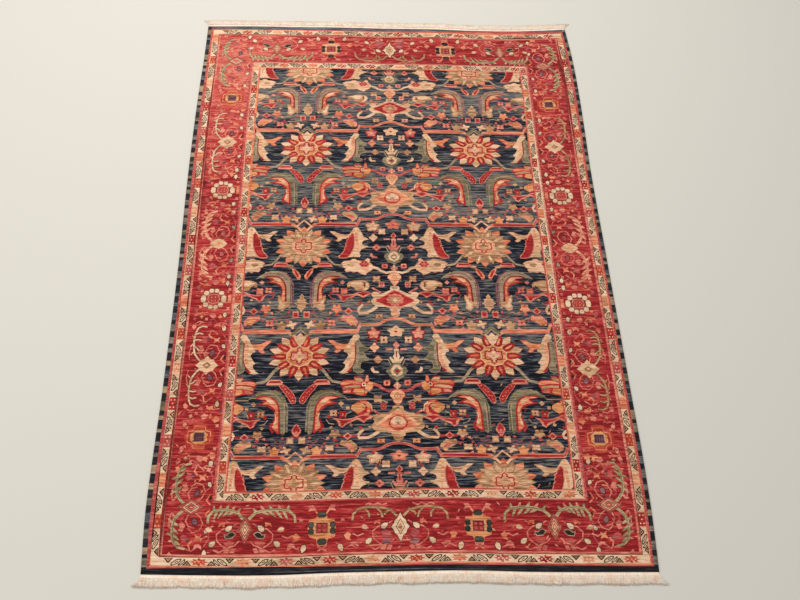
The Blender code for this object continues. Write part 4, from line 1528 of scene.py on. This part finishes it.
def woolOf(name):
    look = woolLooks[name]
    wool = bpy.data.materials.new("wool " + name)
    wool.use_nodes = True
    nodes, links = wool.node_tree.nodes, wool.node_tree.links
    shader = nodes["Principled BSDF"]
    shader.inputs["Sheen Weight"].default_value = woolGrain["sheen"]
    shader.inputs["Sheen Roughness"].default_value = woolGrain["sheenRoughness"]
    shader.inputs["Specular IOR Level"].default_value = woolGrain["specular"]
    grain = nodes.new("ShaderNodeGroup")
    grain.node_tree = bpy.data.node_groups.get("wool grain") or makeGrain()
    grain.inputs["Lot"].default_value = sorted(woolLooks).index(name) * woolGrain["lotShift"]
    # the fade paints glare, with some fading, at the far left corner
    for socket, usual in (("Rows", 0), ("Fade", woolGrain["fade"]), ("Streaks", 1.0)):
        grain.inputs[socket].default_value = look.get(socket.lower(), usual)
    dye = nodes.new("ShaderNodeValToRGB")
    lots = (look["deep"], look["base"], look["pale"], look.get("palest", look["pale"]))
    steps = look.get("steps", woolGrain["steps"])
    fillRamp(dye.color_ramp, [(position, linear(colour)) for position, colour in zip(steps, lots)])
    links.new(grain.outputs["Tone"], dye.inputs["Fac"])
    links.new(dye.outputs["Color"], shader.inputs["Base Color"])
    links.new(grain.outputs["Roughness"], shader.inputs["Roughness"])
    links.new(grain.outputs["Normal"], shader.inputs["Normal"])
    return wool


# A white fringe at each end: a narrow plain-woven web, then the loose ends of the warps
fringeSize = {
    "web": 0.011,
    "webThickness": 0.0022,
    "webColumns": 560,
    "webRows": 4,
    "webDip": 0.0002,  # between its warps
    "webThins": 0.0008,  # towards the loose ends
    "webRagged": 0.0006,
    "webLift": 0.0002,  # of its underside
    "seatGap": 0.0003,
    "strandsPerEnd": 4600,
    "strandSteps": 4,
    "strandSides": 3,
    "tucked": 0.002,  # how far the loose ends start inside the web
    "length": 0.034,  # beyond the web
    "shortest": 0.72,  # share of the length
    "ownShortest": 0.80,  # of each strand beside the ones around it
    "rootWidth": 0.0026,
    "tipWidth": 0.0013,
    "flatness": 0.38,  # half its height, for its width
    "clumpScale": 95,
    "clumpLean": 0.006,
    "ownLean": 0.0025,
    "wiggle": 0.0012,
    "height": 0.0007,  # where the strands lie, and how far they wave up and down
    "wave": 0.0004,
    "layers": (0.0004, 0.0017),
    "cornerSpread": 0.025,
    "cornerRun": 0.070,
    "near": {"seed": 31, "outward": -1,
             "waves": ((0.0045, 0.41, 0.6), (0.0030, 0.17, 2.1), (0.0022, 0.052, 1.3))},
    "far": {"seed": 47, "outward": 1,
            "waves": ((0.0040, 0.36, 1.9), (0.0032, 0.19, 0.3), (0.0022, 0.047, 0.8))},
}


def leanAt(look, across):
    # how far a strand's tip lies to the side: slow waves, and a fan at each corner
    lean = sum(size * math.sin(math.tau * across / run + phase) for size, run, phase in look["waves"])
    fan = max(0.0, 1 - (clothSize["halfWidth"] - abs(across)) / fringeSize["cornerRun"]) ** 1.5
    return lean * (1 - fan) + math.copysign(fringeSize["cornerSpread"] * fan, across)


def skinRings(bm, rings):  # a closed skin over rings of as many vertices each
    for ring, following in zip(rings, rings[1:]):
        for k in range(len(ring)):
            after = (k + 1) % len(ring)
            bm.faces.new((ring[k], ring[after], following[after], following[k]))
    bm.faces.new(rings[0])
    bm.faces.new(rings[-1][::-1])


def makeWeb(bm, outward, rng):
    # a flat band that dips a little between its warps
    columns, rows = fringeSize["webColumns"], fringeSize["webRows"]
    rings = []
    for k in range(columns + 1):
        across = -clothSize["halfWidth"] + 2 * clothSize["halfWidth"] * k / columns
        x, y = laidPoint(across, outward * clothSize["halfLength"])
        start = abs(y) + fringeSize["seatGap"]
        ring = []
        for row in range(rows + 1):
            share = row / rows
            dip = fringeSize["webDip"] * ((k + row) % 2) + fringeSize["webThins"] * share
            ragged = rng.uniform(-fringeSize["webRagged"], fringeSize["webRagged"]) if row == rows else 0.0
            reach = start + fringeSize["web"] * share + ragged
            ring.append(bm.verts.new((x, outward * reach, fringeSize["webThickness"] - dip)))
        for row in range(rows, -1, -1):
            under = ring[row].co
            ring.append(bm.verts.new((under.x, under.y, fringeSize["webLift"])))
        rings.append(ring)
    skinRings(bm, rings)


def makeStrand(bm, look, across, rng):
    # one loose end: it leans with its neighbours and lies in its own layer
    outward = look["outward"]
    x, y = laidPoint(across, outward * clothSize["halfLength"])
    root = abs(y) + fringeSize["seatGap"] + fringeSize["web"] - fringeSize["tucked"]
    clump = noise.noise((across * fringeSize["clumpScale"], outward * 3.0, 1.0))
    lean = leanAt(look, across) + fringeSize["clumpLean"] * clump + rng.gauss(0, fringeSize["ownLean"])
    uneven = 0.5 + 0.5 * noise.noise((across * 14, outward * 5.0, 6.0))
    length = fringeSize["length"] * (fringeSize["shortest"] + (1 - fringeSize["shortest"]) * uneven)
    length *= rng.uniform(fringeSize["ownShortest"], 1.0)
    layer = rng.uniform(*fringeSize["layers"])
    wiggle = rng.uniform(-fringeSize["wiggle"], fringeSize["wiggle"])
    turn = rng.uniform(0, math.tau)
    steps, sides = fringeSize["strandSteps"], fringeSize["strandSides"]
    rings = []
    for step in range(steps + 1):
        share = step / steps
        width = fringeSize["rootWidth"] + (fringeSize["tipWidth"] - fringeSize["rootWidth"]) * share
        middleX = x + lean * share ** 1.5 + wiggle * math.sin(share * 6.0)
        middleY = outward * (root + (length + fringeSize["tucked"]) * share)
        sink = layer * (1 - 0.45 * share)
        middleZ = fringeSize["height"] + sink + fringeSize["wave"] * math.sin(share * 5 + turn)
        ring = []
        for side in range(sides):
            angle = turn + math.tau * side / sides + share * 2.0
            ring.append(bm.verts.new((
                middleX + 0.5 * width * math.cos(angle),
                middleY,
                max(0.0001, middleZ + fringeSize["flatness"] * width * math.sin(angle)),
            )))
        rings.append(ring)
    skinRings(bm, rings)


def makeFringe(end):
    look = fringeSize[end]
    rng = random.Random(look["seed"])
    bm = bmesh.new()
    makeWeb(bm, look["outward"], rng)
    halfWidth = clothSize["halfWidth"]
    count = fringeSize["strandsPerEnd"]
    for strand in range(count):
        across = -halfWidth + 2 * halfWidth * (strand + rng.uniform(0.1, 0.9)) / count
        makeStrand(bm, look, across, rng)
    bmesh.ops.recalc_face_normals(bm, faces=bm.faces[:])
    mesh = bpy.data.meshes.new("warp_fringe_" + end)
    bm.to_mesh(mesh)
    bm.free()
    mesh.materials.append(warpCotton())
    for polygon in mesh.polygons:
        polygon.use_smooth = True
    fringe = bpy.data.objects.new("warp_fringe_" + end, mesh)
    bpy.context.scene.collection.objects.link(fringe)
    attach(fringe, "root")
    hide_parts("fringe_" + end)
    print(end, "fringe:", count, "strands,", len(mesh.polygons), "faces")
    return fringe


cottonLook = {
    "light": "fff4e7",
    "warm": "fae7dc",  # where it's a little soiled
    "shade": "f2dccc",
    "sheen": 0.2,
    "specular": 0.2,
    "threads": (420, 60, 300),  # for each metre across, along and up
    "patches": 38,
    "roughness": (0.82, 0.98),
    "relief": 0.0004,
    "reliefStrength": 0.5,
}


def warpCotton():
    cotton = bpy.data.materials.get("warp cotton")
    if cotton:
        return cotton
    cotton = bpy.data.materials.new("warp cotton")
    cotton.use_nodes = True
    nodes, links = cotton.node_tree.nodes, cotton.node_tree.links
    shader = nodes["Principled BSDF"]
    shader.inputs["Sheen Weight"].default_value = cottonLook["sheen"]
    shader.inputs["Specular IOR Level"].default_value = cottonLook["specular"]
    place = nodes.new("ShaderNodeTexCoord")
    stretch = addNode(nodes, "Mapping", {"Scale": cottonLook["threads"]})
    links.new(place.outputs["Object"], stretch.inputs["Vector"])
    threads = addNode(nodes, "TexNoise", {"Scale": 1.0, "Detail": 3.0})
    links.new(stretch.outputs["Vector"], threads.inputs["Vector"])
    patches = addNode(nodes, "TexNoise", {"Scale": cottonLook["patches"], "Detail": 2.0})
    links.new(place.outputs["Object"], patches.inputs["Vector"])
    ramp = nodes.new("ShaderNodeValToRGB")
    fillRamp(ramp.color_ramp, [(0.30, linear(cottonLook["shade"])), (0.58, linear(cottonLook["light"]))])
    links.new(threads.outputs["Fac"], ramp.inputs["Fac"])
    soil = nodes.new("ShaderNodeMix")
    soil.data_type = "RGBA"
    soil.blend_type = "MULTIPLY"
    soil.inputs["B"].default_value = linear(cottonLook["warm"])
    fit = addNode(nodes, "MapRange", {"From Min": 0.45, "From Max": 0.75})
    links.new(patches.outputs["Fac"], fit.inputs["Value"])
    links.new(fit.outputs["Result"], soil.inputs["Factor"])
    links.new(ramp.outputs["Color"], soil.inputs["A"])
    links.new(soil.outputs["Result"], shader.inputs["Base Color"])
    smoothest, roughest = cottonLook["roughness"]
    rough = addNode(nodes, "MapRange", {"To Min": smoothest, "To Max": roughest})
    links.new(threads.outputs["Fac"], rough.inputs["Value"])
    links.new(rough.outputs["Result"], shader.inputs["Roughness"])
    bump = addNode(nodes, "Bump", {"Strength": cottonLook["reliefStrength"],
                                   "Distance": cottonLook["relief"]})
    links.new(threads.outputs["Fac"], bump.inputs["Height"])
    links.new(bump.outputs["Normal"], shader.inputs["Normal"])
    return cotton


makeCamera()
makeStudio()
cloth = weaveCloth()
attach(cloth, "root")
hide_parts("weave")
print("cloth is woven")
fringes = [makeFringe("near"), makeFringe("far")]
